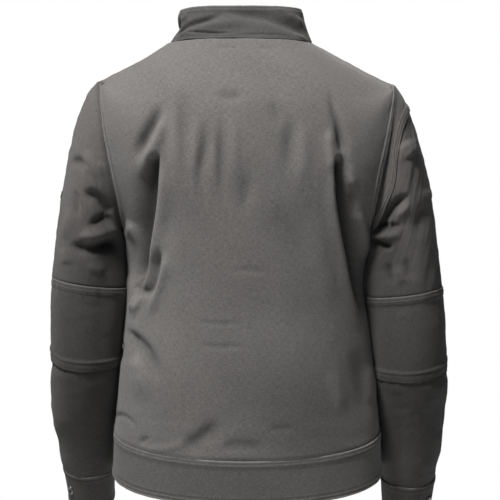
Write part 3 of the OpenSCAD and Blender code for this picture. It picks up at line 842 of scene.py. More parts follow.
FRONT_FOLDS = [
    ([150, -120, 132, -190, 118, -250], 13, -5, 0.3, 0.5, 0.3),
    ([165, -215, 140, -290, 128, -360], 14, -7, 0.2, 0.5, 0.3),
    ([172, -300, 150, -350, 120, -385], 12, 4, 0.3, 0.5, 0.1),
    ([70, -110, 62, -170, 58, -240], 16, -2.6, 0.4, 0.5, 0.2),
    ([36, -300, 90, -318, 140, -312], 9, -1.8, 0.3, 0.4, 0.3),
    ([30, -400, 80, -420, 150, -410], 10, -2.2, 0.3, 0.4, 0.3),
    ([120, -500, 100, -560], 15, -3, 0.4, 0.3, 0.2),
    ([60, -470, 50, -560], 16, 2.4, 0.4, 0.3, 0.1),
]
fronts = {}
for side, word in SIDES:
    front = Patch(front_f(side), FRONT_US, BODY_VS, -side)
    front.relax(V_ARMPIT, 0.12, 90).relax(V_SHOULDER, 0.04, 40)
    v, arm = front.v, beside_arm(front.v)
    marked = folds(front.p[..., 0] * side, front.p[..., 2], FRONT_FOLDS)
    relief = marked * (1 if side > 0 else 0.85) + unevenness(front, 40 + side)
    relief += felled(front.right, 0.2 + 1.7 * arm, SEAM_ROWS) * smooth(v, V_SHOULDER - 0.04, V_SHOULDER)
    relief += felled(front.left, 0.5, FRONT_ROWS) + pucker(front.left - 9, front.top, 61 + side, 14, 11, 0.4)
    relief += 2.4 * (smooth(front.low, 0, 7) - 1) + side_swell(v, front.right) - rolled_edge(front.right, v)
    front.wear_and_shade = ridge_wear_and_shade(front.left, FRONT_ROWS) + ridge_wear_and_shade(front.right, SEAM_ROWS) * arm
    front.lift(relief)
    sew("front_cloth_" + word, front, CANVAS, BODY, word + "_front_panel",
        rows=[("right", SEAM_ROWS, 0.17, 0.5), ("left", FRONT_ROWS, 0.0, 0.985)])
    fronts[side] = front

# ---- Hem bands ----

HEM_TOP, HEM_LOW = (2.2, 8.2), (3, 8.5)
for word, of, out, us in (
    ("back", back_f, 1, BACK_US), ("left", front_f(1), -1, FRONT_US), ("right", front_f(-1), 1, FRONT_US),
):
    hem = Patch(hem_f(of), us, dense_edges(0, 1, 46), out)
    relief = felled(hem.top, 0.9, HEM_TOP) + felled(hem.low, 0.5, HEM_LOW) + unevenness(hem, 73, 0.7) + 0.35
    relief += pucker(hem.top, hem.left, 71, 18, 10, 0.45) + pucker(hem.low, hem.left, 72, 22, 13, 0.5)
    hem.wear_and_shade = ridge_wear_and_shade(hem.top, HEM_TOP) + 1.2 * ridge_wear_and_shade(hem.low, HEM_LOW)
    hem.lift(relief)
    rows = [("top", HEM_TOP), ("low", HEM_LOW)] + ([("left", [4])] if word != "back" else [])
    sew("hem_band_" + word, hem, 3.0, TRIM, word + "_hem_band", "hem", rows)

# ---- Collar ----

COLLAR_FOLDS = [
    # Paths as the turn round the neck, in half turns with the wearer's left as plus, and the height
    ([0.415, 9, 0.36, 16, 0.27, 21, 0.17, 27, 0.06, 35], (5, 7), -7.0, 0.15, 0.35, 0.2),
    ([0.39, 27, 0.35, 33, 0.29, 36], 5.5, 4.0, 0.3, 0.3, 0.0),
    ([0.37, 5, 0.22, 13, 0.08, 20, -0.06, 24], 8.0, 4.5, 0.2, 0.3, 0.0),
    ([0.30, 9.5, 0.20, 8.0, 0.10, 6.4, 0.02, 6.6], 1.7, -3.2, 0.35, 0.3, 0.5),
    ([0.02, 5.0, -0.16, 5.2, -0.24, 4.6], 1.8, -1.3, 0.3, 0.3, 0.5),
    ([0.10, 40, -0.10, 31, -0.24, 20, -0.36, 12, -0.45, 5], (9, 8), -6.0, 0.3, 0.25, 0.1),
    ([-0.14, 42, -0.30, 33, -0.42, 22], 7.0, 3.0, 0.3, 0.3, 0.0),
    ([-0.28, 7, -0.38, 5], 4.0, 2.0, 0.3, 0.3, 0.0),
    ([0.72, 10, 0.80, 28, 0.84, 44], 9.0, -3.0, 0.3, 0.3, 0.3),
    ([-0.70, 12, -0.80, 28, -0.86, 42], 9.0, -2.4, 0.3, 0.3, 0.3),
]
AROUND = 105 * math.pi


def collar_shape(name, node, thickness, sunk, a_end, t_lo, t_hi, rows=()):
    c = Patch(collar_f, span(-a_end, a_end, 260), span(t_lo, t_hi, 44), -1)
    height = c.v * COLLAR_H
    relief = folds(c.u * AROUND, height, COLLAR_FOLDS, (AROUND, 1)) + 0.7 * noise(c.u * 9, c.v * 2.2, 93, 2) - sunk
    # The wearer's left side leans in from its foot, then its wing turns out towards the top
    wing = smooth(c.u, 0.26, 0.44) * (1 - smooth(c.u, 0.60, 0.86))
    relief += wing * (9.0 * smooth(height, 27, 40) - lerp(3.0, 11.0, smooth(height, 0, 30)))
    if rows:
        relief += felled(c.low, 0.7, (3, 8)) + pucker(c.top, c.left, 95, 12, 9, 0.5)
        relief += pucker(c.low, c.left, 96, 14, 12, 0.4) + 0.6
        c.wear_and_shade = 1.1 * ridge_wear_and_shade(c.low, (3, 8)) + 0.5 * ridge_wear_and_shade(c.top, (2.4, 5))
    c.lift(relief)
    sew(name, c, thickness, SHADOWED_COLLAR, node, "collar", rows)


collar_shape("collar_shell", "collar_outer", CANVAS, 0, 0.93, 0, 1,
             [("low", (3, 8)), ("top", [2.6]), ("left right", [5])])
collar_shape("collar_inside", "collar_facing", 1.4, 2.2, 0.925, 0.01, 0.985)

# ---- Sleeves ----

SLEEVE_FOLDS = {-1: [
    # Deep crease into the underarm, with a fan of ridges below it
    ([-236, -222, -216, -241, -201, -256, -188, -282], 9, -10, 0.3, 0.05, 0.35),
    ([-236, -236, -214, -258], 8, 4.5, 0.4, 0.3, 0.0),
    ([-186, -272, -208, -272, -230, -268], 6, -6, 0.1, 0.5, 0.3),
    ([-188, -288, -212, -285, -228, -280], 6.5, 4.5, 0.2, 0.5, 0.0),
    ([-184, -292, -200, -299, -214, -306], 6, -7.5, 0.1, 0.4, 0.3),
    ([-203, -322, -209, -340, -215, -360], 7, -3.6, 0.4, 0.4, 0.3),
    ([-216, -326, -224, -344, -233, -360], 7, 3.0, 0.4, 0.4, 0.0),
    ([-227, -316, -236, -334, -243, -352], 7, -3.0, 0.4, 0.4, 0.3),
    # Outer bend of the upper arm
    ([-268, -218, -270, -232], 14, 1.6, 0.2, 0.2, 0.0),
    ([-268, -238, -254, -262, -247, -292], 13, -4.6, 0.3, 0.5, 0.2),
    ([-280, -300, -281, -335, -284, -366], 4.5, -2.2, 0.4, 0.2, 0.4),
    # Puff that rolls over the gusset seam, and the hollow beside the armhole
    ([-226, -148, -232, -160, -240, -172], 13, 5.0, 0.3, 0.3, 0.0),
    ([-206, -150, -199, -184, -192, -216], 7, -4.5, 0.3, 0.3, 0.1),
], 1: [
    ([262, -184, 246, -178, 232, -192], 8, -5.0, 0.3, 0.4, 0.3),
    ([240, -160, 222, -182, 212, -205], 9, 3.4, 0.4, 0.4, 0.1),
    ([208, -134, 206, -152, 203, -172], 5.5, -4.0, 0.3, 0.4, 0.1),
    ([212, -176, 200, -196], 5, 3.6, 0.3, 0.3, 0.0),
    ([240, -222, 218, -230, 196, -252], 10, -8.5, 0.3, 0.1, 0.25),
    ([232, -274, 212, -262, 196, -258], 7, -6.0, 0.4, 0.1, 0.3),
    ([246, -286, 216, -284, 192, -272], 9, 7.0, 0.3, 0.2, 0.0),
    ([262, -298, 238, -304, 212, -302, 192, -298], 9, -8.0, 0.3, 0.1, 0.2),
    ([256, -240, 262, -268, 270, -296], 9, 3.0, 0.4, 0.4, 0.1),
    ([250, -214, 246, -240, 250, -262], 6, -3.2, 0.4, 0.4, 0.2),
    ([268, -300, 262, -330], 10, 3.0, 0.4, 0.3, 0.0),
    ([236, -330, 206, -336], 9, 2.6, 0.4, 0.3, 0.0),
]}


def sleeve_folds(patch, side):
    """The marked folds, which fade out round the front of the arm."""
    return folds(patch.p[..., 0], patch.p[..., 2], SLEEVE_FOLDS[side]) * smooth(patch.n[..., 1], -0.05, 0.35)


def sleeve_relief(patch, side, seed, amount, ring):
    """Cloth on the arm: the marked folds behind, and softer wrinkles round the rest."""
    marked = sleeve_folds(patch, side)
    x, y = patch.left, patch.top
    rest = noise(x / 70, y / 24, seed, 3) * ring
    rest += 1.4 * noise(x / 80, y / 90, seed + 5, 2) + 0.3 * noise(x / 18, y / 16, seed + 8, 2)
    turn = np.cos(2 * np.pi * patch.u)
    # Painted shade darkens the sleeve towards the hand and under the arm
    patch.wear_and_shade += crease_painted_shade(marked) - 0.70 * smooth(patch.v, 0.0 if side > 0 else 0.2, 0.68)
    patch.wear_and_shade -= 0.6 * smooth(-turn, -0.2, 0.6) * bump(patch.v, 0.21, 0.2)
    return marked + amount * rest * (1 - 0.6 * smooth(-turn, 0.55, 0.95))


# How far each sleeve bulges inwards to meet the body, down its length
MEETS = {
    1: [(0.01, 0), (0.05, 4), (0.3, 5.5), (0.42, 9.5), (0.5, 8), (0.6, 4), (0.68, 3), (0.82, 4.5), (1, 3)],
    -1: [(0.01, 0), (0.05, 4), (0.3, 6.5), (0.42, 10), (0.5, 8.5), (0.6, 6.5), (0.7, 8.5), (0.85, 8), (1, 5)],
}


def sleeve_sag(patch, side):
    """How far the sleeve hangs towards the body, and on the left in from the elbow."""
    turn = np.cos(2 * np.pi * patch.u)
    inwards = smooth(-turn, 0.45, 0.95) * curve(MEETS[side], np.clip(patch.v, 0.01, 1))
    return inwards - (4.0 * smooth(turn, 0.3, 0.9) * bump(patch.v, 0.65, 0.13) if side > 0 else 0)
def ringed(patch, seed, height):
    """Puckers along the top and bottom seams of a sleeve panel."""
    return sum(pucker(s, patch.left, seed + k, 15, 9, height) for k, s in enumerate((patch.top, patch.low)))


SLEEVE_US = span(-0.28, 0.73, 200)
UPPER_ROWS, SADDLE_ROWS, ELBOW_TOP, ELBOW_LOW = (2.2, 7.4), (2.4, 7.6), (2.8, 8.4), (2.0, 13.5)
outer_sleeves, cuffs = {}, {}
for side, word in SIDES:
    f = sleeve_f(side)
    t_tuck = TURNED_UNDER / SLEEVE_RUN
    upper, elbow, cuff = "upper_" + word, "elbow_" + word, "cuff_" + word

    # Upper sleeve: the outer piece reaches round the back, the inner piece closes it under the arm
    for kind, a0, a1, n, node, rows in (
        ("outer", -0.27, 0.475, 150, "_top_sleeve", ()),
        ("inner", 0.473, 0.732, 60, "_under_sleeve", [("left right", [inset], 0.04, 0.98) for inset in (2, 6)]),
    ):
        s = Patch(f, span(a0, a1, n), span(-0.010, T_ELBOW_TOP + t_tuck, 118), -side)
        relief = sleeve_relief(s, side, 200 + 10 * side, 0.8, bump(s.v, 0.2, 0.16) + 0.5)
        relief *= smooth(s.top, 4, 40) * (0.3 + 0.7 * smooth(s.low, 6, 30))
        relief -= 2.6 * (1 - smooth(s.top, 8, 30)) * (1 - 0.85 * bump(s.u, -0.1, 0.2))
        relief += 2.3 * (smooth(s.low, 0, 7) - 1) + pucker(s.low, s.left, 211, 15, 9, 0.4) + sleeve_sag(s, side)
        if kind == "inner":
            relief += 0.9 * (1 - smooth(s.side_inset(), 5, 9))
        elif side > 0:
            away = s.left - [[np.interp(0.02, s.u[0], row)] for row in s.left]
            relief += lapped(away, 1.4, UPPER_ROWS) + pucker(away - 4, s.top, 233, 14, 9, 0.4)
            # Rubbed pale at the lapped seam's fold, with a painted highlight between its rows
            s.wear_and_shade += 0.4 * bump(away, 0.3, 1.2) + 0.1 * bump(away, 4.8, 3)
        # Painted shadow along the armhole edge, and a line of painted shade above the lower seam
        s.wear_and_shade -= 0.45 * bump(s.low, 7.8, 1.4) + 0.4 * (1 - smooth(s.top, 7, 18))
        s.lift(relief)
        sew("sleeve_%s_%s" % (kind, word), s, CANVAS, SHADED_SLEEVE, word + node, upper, rows)
        outer_sleeves.setdefault(side, s)

    # On the right a saddle strip lies between the armhole and the seam that crosses the back of the arm
    if side < 0:
        seam_t = [(-0.27, 0.030), (-0.16, 0.052), (0.0, 0.080), (0.08, 0.074), (0.16, 0.060), (0.215, 0.066),
                  (0.27, 0.092), (0.34, 0.075), (0.47, 0.036)]
        g = laid_on(outer_sleeves[side], span(-0.264, 0.472, 210), span(0, 1, 34),
                    lambda a, q: (a, lerp(-0.004, curve(seam_t, np.clip(a, -0.27, 0.47)), q)))
        g.lift(0.4 + felled(g.low, 1.5, SADDLE_ROWS) + pucker(g.low, g.left, 230, 12, 8, 0.3))
        # The strip is a little darker overall, with painted shadow along its top next to the armhole edge
        g.wear_and_shade = 0.9 * ridge_wear_and_shade(g.low, SADDLE_ROWS) - 0.12 - 0.5 * (1 - smooth(g.top, 5, 9))
        sew("sleeve_saddle_right", g, 1.4, SHADED_SLEEVE, None, upper, [("low", SADDLE_ROWS, 0.01, 0.99)])

    # Elbow panel, with a stitched band along its lower edge
    e = Patch(f, SLEEVE_US, dense_edges(T_ELBOW_TOP - 0.001, T_ELBOW_LOW + 0.004, 76), -side)
    relief = sleeve_relief(e, side, 260 + 10 * side, 0.7, 0.8)
    relief += smooth(-e.n[..., 1], 0.1, 0.7) * 2.6 * noise(e.left / 60, e.top / 15, 271, 2) * bump(e.top, 55, 40)
    relief *= smooth(e.top, 2, 20) * smooth(e.low, 4, 24)
    relief += felled(e.top, 1.2, ELBOW_TOP) + felled(e.low, 1.3, ELBOW_LOW)
    relief += ringed(e, 263, 0.75) + 0.9 * bump(e.low, 15.5, 2.2) + 0.5
    e.wear_and_shade += 0.75 * ridge_wear_and_shade(e.top, ELBOW_TOP)
    # A painted highlight on the ridge above the lower band, and painted shade at its upper row and along its lower
    # fold
    e.wear_and_shade += 0.25 * bump(e.low, 15.2, 1.4) - 0.3 * bump(e.low, 12.6, 1.2) - 0.35 * bump(e.low, 0.8, 1.6)
    e.lift(relief + sleeve_sag(e, side))
    sew("elbow_cloth_" + word, e, CANVAS, SHADED_SLEEVE, word + "_elbow_panel", elbow,
        [("top", ELBOW_TOP), ("low", ELBOW_LOW)])

    # Forearm panel
    p = Patch(f, SLEEVE_US, span(T_ELBOW_LOW - 0.004, T_CUFF + t_tuck, 92), -side)
    relief = sleeve_relief(p, side, 280 + 10 * side, 0.9, 0.9)
    relief += 2.4 * noise(p.left / 75 + p.top / 60, p.top / 70, 291 + side, 2)
    relief *= smooth(p.top, 4, 26) * smooth(p.low, 6, 24)
    relief += 2.3 * (smooth(p.top, 2, 8) + smooth(p.low, 0, 7) - 2) + ringed(p, 283, 0.5)
    p.lift(relief + sleeve_sag(p, side))
    sew("forearm_cloth_" + word, p, CANVAS, SHADED_SLEEVE, word + "_forearm_panel", cuff)

    # Cuff
    k = Patch(f, SLEEVE_US, dense_edges(T_CUFF - 0.001, 1, 44), -side)
    relief = felled(k.top, 0.7, (2, 5)) + felled(k.low, 0.5, (3, 8)) + 0.5
    relief += ringed(k, 303, 0.45) + unevenness(k, 305 + side, 0.6)
    # The cuff is darkened all over as painted shade
    k.wear_and_shade = 0.6 * ridge_wear_and_shade(k.top, (2, 5)) + 0.8 * ridge_wear_and_shade(k.low, (3, 8)) - 0.68
    k.lift(relief + sleeve_sag(k, side))
    sew("cuff_cloth_" + word, k, 2.6, SHADED_SLEEVE, word + "_cuff", cuff, [("top", [2.2]), ("low", (3, 8))])
    cuffs[side] = k

    # Linings
    for part, t0, t1, n, group in (
        ("upper", 0.002, T_ELBOW_TOP - 0.002, 60, upper), ("lower", T_ELBOW_TOP + 0.001, T_CUFF + 0.02, 64, elbow),
    ):
        l = Patch(f, span(-0.28, 0.72, 110), span(t0, t1, n), -side)
        deep = 1.05 * np.minimum(sleeve_folds(l, side), 0) + 0.8 * np.minimum(sleeve_sag(l, side), 0)
        l.lift(deep - 6.0 + 0.6 * noise(l.left / 40, l.top / 30, 311, 2) - 1.2 * bump(l.v, 0.1, 0.05))
        sew("sleeve_lining_%s_%s" % (part, word), l, THIN, INSIDE, "%s_%s_sleeve_lining" % (word, part), group)

# ---- Body lining ----

for name, shell, us, node in (
    ("back", back, dense_edges(-0.975, 0.975, 140), "back_lining"),
    ("front_left", fronts[1], span(0.1, 0.975, 64), "left_front_lining"),
    ("front_right", fronts[-1], span(0.1, 0.975, 64), "right_front_lining"),
):
    # The lining stops short of the armhole seam
    l = laid_on(shell, us, span(0.012, 0.985, 110),
                lambda u, v: (u * (1 - 0.06 * (1 - smooth(v, V_ARMPIT - 0.03, V_ARMPIT + 0.03))), v))
    l.lift(-4.8 + 0.5 * noise(l.left / 50, l.top / 60, 321, 2))
    sew("lining_" + name, l, THIN, INSIDE, node)

# ---- Solid shapes ----

def outline_inset(points, d):
    """A closed outline moved inwards by d."""
    p = np.asarray(points, float)
    along = np.roll(p, -1, 0) - p
    along /= np.linalg.norm(along, axis=1, keepdims=True)
    inward = np.stack([-along[:, 1], along[:, 0]], 1)
    m = inward + np.roll(inward, 1, 0)
    return p + m * d * 2 / np.maximum((m ** 2).sum(1, keepdims=True), 0.8)


def rounded(w, h, r, cx=0.0, cy=0.0, n=5):
    """Outline of a rectangle with rounded corners, anticlockwise."""
    corners = [(w / 2 - r, h / 2 - r), (-w / 2 + r, h / 2 - r), (-w / 2 + r, -h / 2 + r), (w / 2 - r, -h / 2 + r)]
    return np.array([
        (cx + x + r * math.cos(a + q * math.pi / 2), cy + y + r * math.sin(a + q * math.pi / 2))
        for q, (x, y) in enumerate(corners) for a in np.linspace(0, math.pi / 2, n)
    ])


def disc(r, n=24):
    return np.array([(math.cos(a) * r, math.sin(a) * r) for a in circle(n)])


def plate(outline, y0, y1, rim=0.3, hole=None):
    """Points and faces of a flat plate with softened edges, its outline in x and z, thick along y."""
    n = len(outline)
    points = []
    for loop, inwards in [(outline, rim)] + ([] if hole is None else [(hole, -rim)]):
        inner = outline_inset(loop, inwards)
        for ring, y in ((inner, y0), (loop, y0 + rim), (loop, y1 - rim), (inner, y1)):
            points += [(x, y, z) for x, z in ring]
    if hole is None:
        return np.array(points, float), flipped(closed(4, n))
    faces = flipped(tube(4, n)) + tube(4, n, 4 * n) + band(0, 4 * n, n) + band(7 * n, 3 * n, n)
    return np.array(points, float), faces


def rod(x0, x1, y, z, r, n=20):
    """A pin along x with softened ends."""
    stations = [(x0, r * 0.8), (x0 + 0.15, r), (x1 - 0.15, r), (x1, r * 0.8)]
    points = [(x, y + q * math.cos(a), z + q * math.sin(a)) for x, q in stations for a in circle(n)]
    return np.array(points, float), closed(4, n)


def hard_object(name, points, faces, look, node, moves, angle=38):
    """A metal piece whose edges sharper than the angle stay crisp."""
    obj = new_object(name, np.asarray(points) * MM, faces)
    obj.modifiers.new("edges", "EDGE_SPLIT").split_angle = math.radians(angle)
    finish_piece(obj, look, node, moves)


def zip_piece(name, parts, node, body="jacket"):
    """One piece of the zip from several shapes given in its own frame."""
    points, faces, start = [], [], 0
    for p, f in parts:
        points.append(on_zip(p))
        faces += [tuple(start + i for i in face) for face in f]
        start += len(p)
    hard_object(name, np.concatenate(points), faces, BRASS, node, body)


def on_zip(points):
    """Places in the zip's frame, -z down the zip and -y out of the front, as places of the jacket."""
    p = np.asarray(points, float)
    c, s = math.cos(ZIP_TILT), math.sin(ZIP_TILT)
    x, y, z = p[..., 0], p[..., 1], p[..., 2]
    return np.stack([x, y * c + z * s + FRONT_Y, z * c - y * s - FRONT_DROP], -1)


def tape_f(side, y=3.9):
    """A tape of the zip: u outwards from its middle, q from 0 at the bottom over 1 at the slider to 2 above."""
    spread_c, spread_s, bisector = math.cos(ZIP_SPREAD), math.sin(ZIP_SPREAD), math.tan(ZIP_SPREAD / 2)

    def f(u, q):
        w = np.where(q > 1, lerp(u, np.minimum(u, 9.4), smooth(q, 1.0, 1.3)), u)
        low = lerp(-ZIP_LEN, -ZIP_OPEN - w * bisector, np.minimum(q, 1))
        h = lerp(w * bisector, ZIP_OPEN + COLLAR_H - 10, np.maximum(q - 1, 0))
        x = np.where(q <= 1, w, w * spread_c + h * spread_s)
        z = np.where(q <= 1, low, -ZIP_OPEN - w * spread_s + h * spread_c)
        return on_zip(np.stack([side * x, np.full_like(x, y), z], -1))
    return f


# ---- Front closure ----

TOOTH = [(5.1, -0.8), (5.1, 0.8), (2.9, 0.8), (2.3, 0.42), (1.3, 0.62), (0.62, 0.3), (0.62, -0.3), (1.3, -0.62),
         (2.3, -0.42), (2.9, -0.8)]
TOOTH_PITCH = 3
tooth, tooth_faces = plate(np.array(TOOTH), -0.6, 1.9, 0.22)
x, y, z = tooth.T
for side, word in SIDES:
    tape = Patch(tape_f(side), span(3.5, 13.2, 14), span(0, 2, 330), side)
    tape.lift(0.12 * np.sin(tape.left * 3.4) + 0.7 * bump(tape.left, 1.0, 0.9) - 0.3)
    sew("closure_tape_" + word, tape, THIN, TAPE, word + "_zipper_tape")
    parts = []
    for low, high, turn, pivot in (
        (-ZIP_LEN + 10, -ZIP_OPEN - 1.5, 0, 0), (1.5, ZIP_OPEN + COLLAR_H - 11, ZIP_SPREAD, -ZIP_OPEN),
    ):
        # The right teeth of the closed part stand half a pitch further up, between the left ones
        first = low + (TOOTH_PITCH / 2 if side < 0 and low < 0 else 0)
        for i in range(int((high - low) / TOOTH_PITCH)):
            h, c, s = z + first + TOOTH_PITCH * i, math.cos(turn), math.sin(turn)
            points = np.stack([side * (x * c + h * s), y, pivot - x * s + h * c], 1)
            parts.append((points, tooth_faces if side > 0 else flipped(tooth_faces)))
    zip_piece("closure_teeth_" + word, parts, word + "_zipper_teeth")

STOP_Z = -ZIP_LEN + 2
zip_piece("closure_stop", [
    plate(rounded(11, 10, 1.6, 0, STOP_Z), -1.4, 2.2, 0.5),
    plate(rounded(7, 5.4, 1.2, 0, STOP_Z), -1.75, -1.2, 0.2),
], "zipper_stop")

SLIDER_Z = -ZIP_OPEN - 10
LUG_Y = -5.0
half_face = [(4.2, -10), (5.0, -8), (5.3, -2), (6.0, 4), (5.6, 8), (3.6, 10)]
face = np.array(half_face + [(0, 8.6)] + [(-x, z) for x, z in half_face[::-1]]) + (0, SLIDER_Z)
lug, lug_faces = plate(disc(3.2), -1.4, 1.4, 0.35, hole=disc(1.35))
zip_piece("closure_slider", [
    plate(face, -2.6, -1.2, 0.4),
    plate(face, 4.6, 6.0, 0.4),
    plate(rounded(0.7, 15, 0.3, 0, SLIDER_Z + 0.5, 3), -1.4, 4.8, 0.1),
    (np.stack([lug[:, 1], LUG_Y + lug[:, 0], SLIDER_Z - lug[:, 2]], 1), lug_faces),
    plate(rounded(2.6, 6.0, 0.8, 0, SLIDER_Z), -3.4, -2.3, 0.2),
], "zipper_slider", "zipper_slider")


def pull_plate(w, h, r, x, z, thick, rim, n=5, hole=None):
    return plate(rounded(w, h, r, x, SLIDER_Z + z, n), LUG_Y - thick, LUG_Y + thick, rim, hole)


zip_piece("closure_pull", [
    rod(-4.5, 4.5, LUG_Y, SLIDER_Z, 1.0),
    pull_plate(2.0, 10, 0.9, -3.5, -4.2, 1.0, 0.3),
    pull_plate(2.0, 10, 0.9, 3.5, -4.2, 1.0, 0.3),
    pull_plate(9, 23, 2.6, 0, -18.5, 1.0, 0.35, 6, hole=rounded(4.6, 9.5, 2.2, 0, SLIDER_Z - 23, 6)),
    pull_plate(5.2, 5.4, 1.2, 0, -12, 1.25, 0.25),
], "zipper_pull", "zipper_pull")


def wind_f(u, z):
    return on_zip(np.stack([u, np.full_like(u, 7.0), z], -1))


wind = Patch(wind_f, span(-21, 21, 34), span(-4, -ZIP_LEN, 230), -1)
wind.lift(0.35 * noise(wind.left / 16, wind.top / 42, 401, 2) * smooth(wind.left, 2, 9) - 0.35)
sew("wind_guard", wind, 1.2, TRIM, "wind_flap", rows=[("left right", [3])])

# ---- Pockets ----

POCKET_U, POCKET_V = (0.34, 0.72), (0.33, 0.55)
POCKET_ROWS, WELT_ROWS = (2.2, 8.2), (2.0, 5.2)


def level(u, v):
    """Keeps a pocket's edges level on the front panel."""
    return u, v + 0.1 * (0.86 - np.cos(np.pi / 2 * u))


pocket = laid_on(fronts[1], dense_edges(*POCKET_U, 70), dense_edges(*POCKET_V, 70), level)
relief = 2.6 + 1.6 * smooth(pocket.side_inset(), 4, 34) * smooth(pocket.low, 4, 40)
relief += unevenness(pocket, 411, 0.5) + pucker(pocket.low, pocket.left, 412)
flap = laid_on(fronts[1], dense_edges(POCKET_U[0] - 0.01, POCKET_U[1] + 0.01, 74),
               span(POCKET_V[0] - 0.02, POCKET_V[0] + 0.075, 40), level)
stand = lerp(3.2, 7.0, smooth(flap.top, 1, 13))
stand += 0.5 * noise(flap.left / 22, flap.top / 20, 421, 2) * smooth(flap.top, 4, 14)
for name, patch, height, thickness, seam, rubbed_and_shaded, node, group, rows in (
    ("patch_pocket", pocket, relief, CANVAS, 0.5, 1, "chest_pocket", "body", [("left right low", POCKET_ROWS)]),
    ("patch_pocket_flap", flap, stand, 2.0, 0.4, 1.2, "chest_pocket_flap", "flap",
     [("left right low", POCKET_ROWS, 0.12, 0.99), ("top", (2.2, 6.4), 0.02, 0.98)]),
):
    edges = patch.left, patch.right, patch.low
    patch.lift(height + sum(felled(s, seam, POCKET_ROWS) for s in edges))
    patch.wear_and_shade = rubbed_and_shaded * sum(ridge_wear_and_shade(s, POCKET_ROWS) for s in edges)
    sew(name, patch, thickness, BODY, node, group, rows)

for side, word in SIDES:
    welt = laid_on(fronts[side], span(0.62, 0.7, 16), dense_edges(0.7, 0.86, 70),
                   lambda u, v: (u + 0.56 * (v - 0.78), v))
    rim = sum(felled(s, 0.4, WELT_ROWS) for s in (welt.left, welt.right))
    welt.lift(2.0 + rim + pucker(welt.left, welt.top, 431 + side, 10, 8, 0.3))
    welt.wear_and_shade = 1.2 * sum(ridge_wear_and_shade(s, WELT_ROWS) for s in (welt.left, welt.right, welt.top, welt.low))
    sew("hand_welt_" + word, welt, 2.0, TRIM, word + "_pocket_welt",
        rows=[("left right top low", [2.2], 0.03, 0.97)])
    bag = laid_on(fronts[side], span(0.25, 0.62, 50), span(0.72, 0.942, 50))
    bag.lift(-2.7 + 0.2 * noise(bag.left / 30, bag.top / 30, 441, 2))
    sew("hand_bag_" + word, bag, THIN, INSIDE, word + "_pocket_bag")

# ---- Snaps, loop and tab ----

# Profiles from the middle out: share of the radius, height in millimetres
CAP = [(0, 1.25), (0.22, 1.35), (0.46, 1.9), (0.7, 2.25), (0.88, 2.1), (0.97, 1.5), (1, 0.8),
       (0.97, 0.25), (0.9, 0)]
STUD = [(0, 1.25), (0.34, 1.25), (0.48, 1.2), (0.52, 0.9), (0.46, 0.55), (0.62, 0.45), (0.95, 0.4), (1, 0.2),
        (0.97, 0)]


def snap(name, patch, u, v, d, raised, profile, node, body, n=40):
    """A turned metal snap that sits on a patch of cloth."""
    place = patch.across(np.array([u]), np.array([v]))
    at, up = patch.at(*place, patch.p)[0], unit(patch.at(*place, patch.n)[0])
    x = unit(np.cross(up, (0.3, 0.2, 1.0)))
    y = np.cross(up, x)
    points = [
        at + up * (raised + h) + (x * math.cos(a) + y * math.sin(a)) * max(q, 0.02) * d / 2
        for q, h in profile for a in circle(n)
    ]
    hard_object(name, points, flipped(closed(len(profile), n)), STEEL, node, body, 50)


snap("flap_cap", flap, 0.53, 0.385, 13, -0.1, CAP, "chest_snap_cap", "chest_flap")
snap("pocket_stud", pocket, 0.53, 0.385, 9, -0.1, STUD, "chest_snap_stud", "jacket")
for side, word in SIDES:
    snap("cuff_cap_" + word, cuffs[side], 0.12, 0.96, 15, -0.2, CAP, word + "_cuff_snap", word + "_forearm")


def loop_f(a, h):
    turn = math.pi * a
    return np.stack([NECK_X - 27.6 * np.cos(turn), 40.5 - 8.6 * np.sin(turn), 4 + h], -1)


loop = Patch(loop_f, span(0, 1, 70), span(0, 7, 10), -1)
loop.lift(0.12 * np.sin(loop.top * 3.0) - 0.1)
sew("neck_loop", loop, 1.0, TAPE, "hanger_loop", sheet=False)

tab = laid_on(outer_sleeves[1], span(-0.004, 0.040, 16), span(0.2645, 0.2765, 12))
tab.lift(0.9 + 0.3 * bump(tab.left, 8, 6))
tab.wear_and_shade = 0.3 * ridge_wear_and_shade(tab.left) + 0.3 * ridge_wear_and_shade(tab.right)
sew("sleeve_side_tab", tab, 0.9, TAPE, "left_sleeve_tab", "upper_left", sheet=False)

# ---- Stitching ----

for group in threads:
    finish_piece(stitch_object("stitching_" + group, group), THREAD, moves=MOVES[group])

# ---- Studio ----

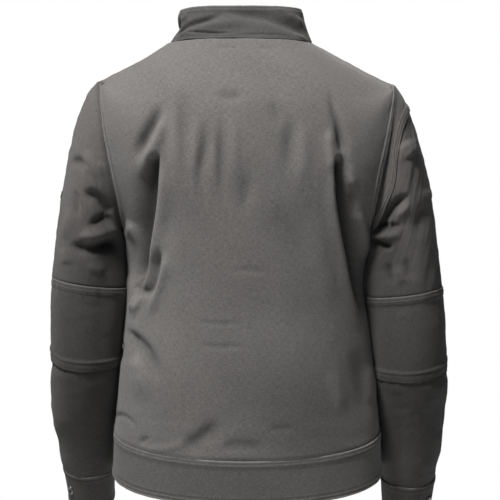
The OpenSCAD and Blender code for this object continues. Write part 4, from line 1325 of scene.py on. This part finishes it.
def area_light(name, place, target, size, watts, tone=(1, 1, 1)):
    light = bpy.data.lights.new(name, "AREA")
    light.shape = "DISK"
    light.size, light.size_y, light.energy, light.color = size, size, watts, tone
    light.spread = math.pi
    obj = bpy.data.objects.new(name, light)
    obj.location = place
    aim(obj, target)
    scene.collection.objects.link(obj)


area_light("key", (0.85, 1.2, 1.95), (0, 0.05, -0.15), 0.6, 100, (1.0, 0.992, 0.98))
area_light("fill", (0.5, 2.4, 0.6), (0, 0, -0.25), 0.8, 5, (0.985, 0.99, 1.0))
area_light("front", (-0.8, -2.4, 1.2), (0, 0, -0.35), 1.6, 44)

world = bpy.data.worlds.new("studio")
world.use_nodes = True
scene.world = world
tree = world.node_tree
mix = tree.nodes.new("ShaderNodeMixShader")
# What lights the jacket, and what the camera sees behind it
for i, (background, colour, strength) in enumerate((
    (tree.nodes["Background"], (0.62, 0.63, 0.65, 1), 0.08),
    (tree.nodes.new("ShaderNodeBackground"), (1, 1, 1, 1), 1.0),
)):
    background.inputs[0].default_value, background.inputs[1].default_value = colour, strength
    tree.links.new(background.outputs[0], mix.inputs[1 + i])
rays = tree.nodes.new("ShaderNodeLightPath")
tree.links.new(rays.outputs["Is Camera Ray"], mix.inputs[0])
tree.links.new(mix.outputs[0], tree.nodes["World Output"].inputs[0])
scene.view_settings.view_transform = "Standard"

FLOOR_R, FLOOR_Z = 1.4, -1.35
floor = new_object("floor", [(x, z, FLOOR_Z) for x, z in disc(FLOOR_R, 96)], [tuple(range(96))])
pale = Look("pale_floor", None, Roughness=0.9)
ground = pale.node("TexCoord").outputs["Object"]
pale.done(pale.tint(pale.noise(ground, 3.0, 2), (0.80, 0.80, 0.80), (0.86, 0.86, 0.85)))
# The floor fades into the white behind it towards its rim
reach = pale.node("VectorMath", ground, operation="LENGTH").outputs["Value"]
glow = pale.out("Emission", (1, 1, 1, 1), 1.0)
blend = pale.out("MixShader", pale.spread(reach, 0.95, 1.38, 0, 1), pale.shader.outputs[0], glow)
pale.tree.links.new(blend, pale.tree.nodes["Material Output"].inputs[0])
floor.data.materials.append(pale.material)
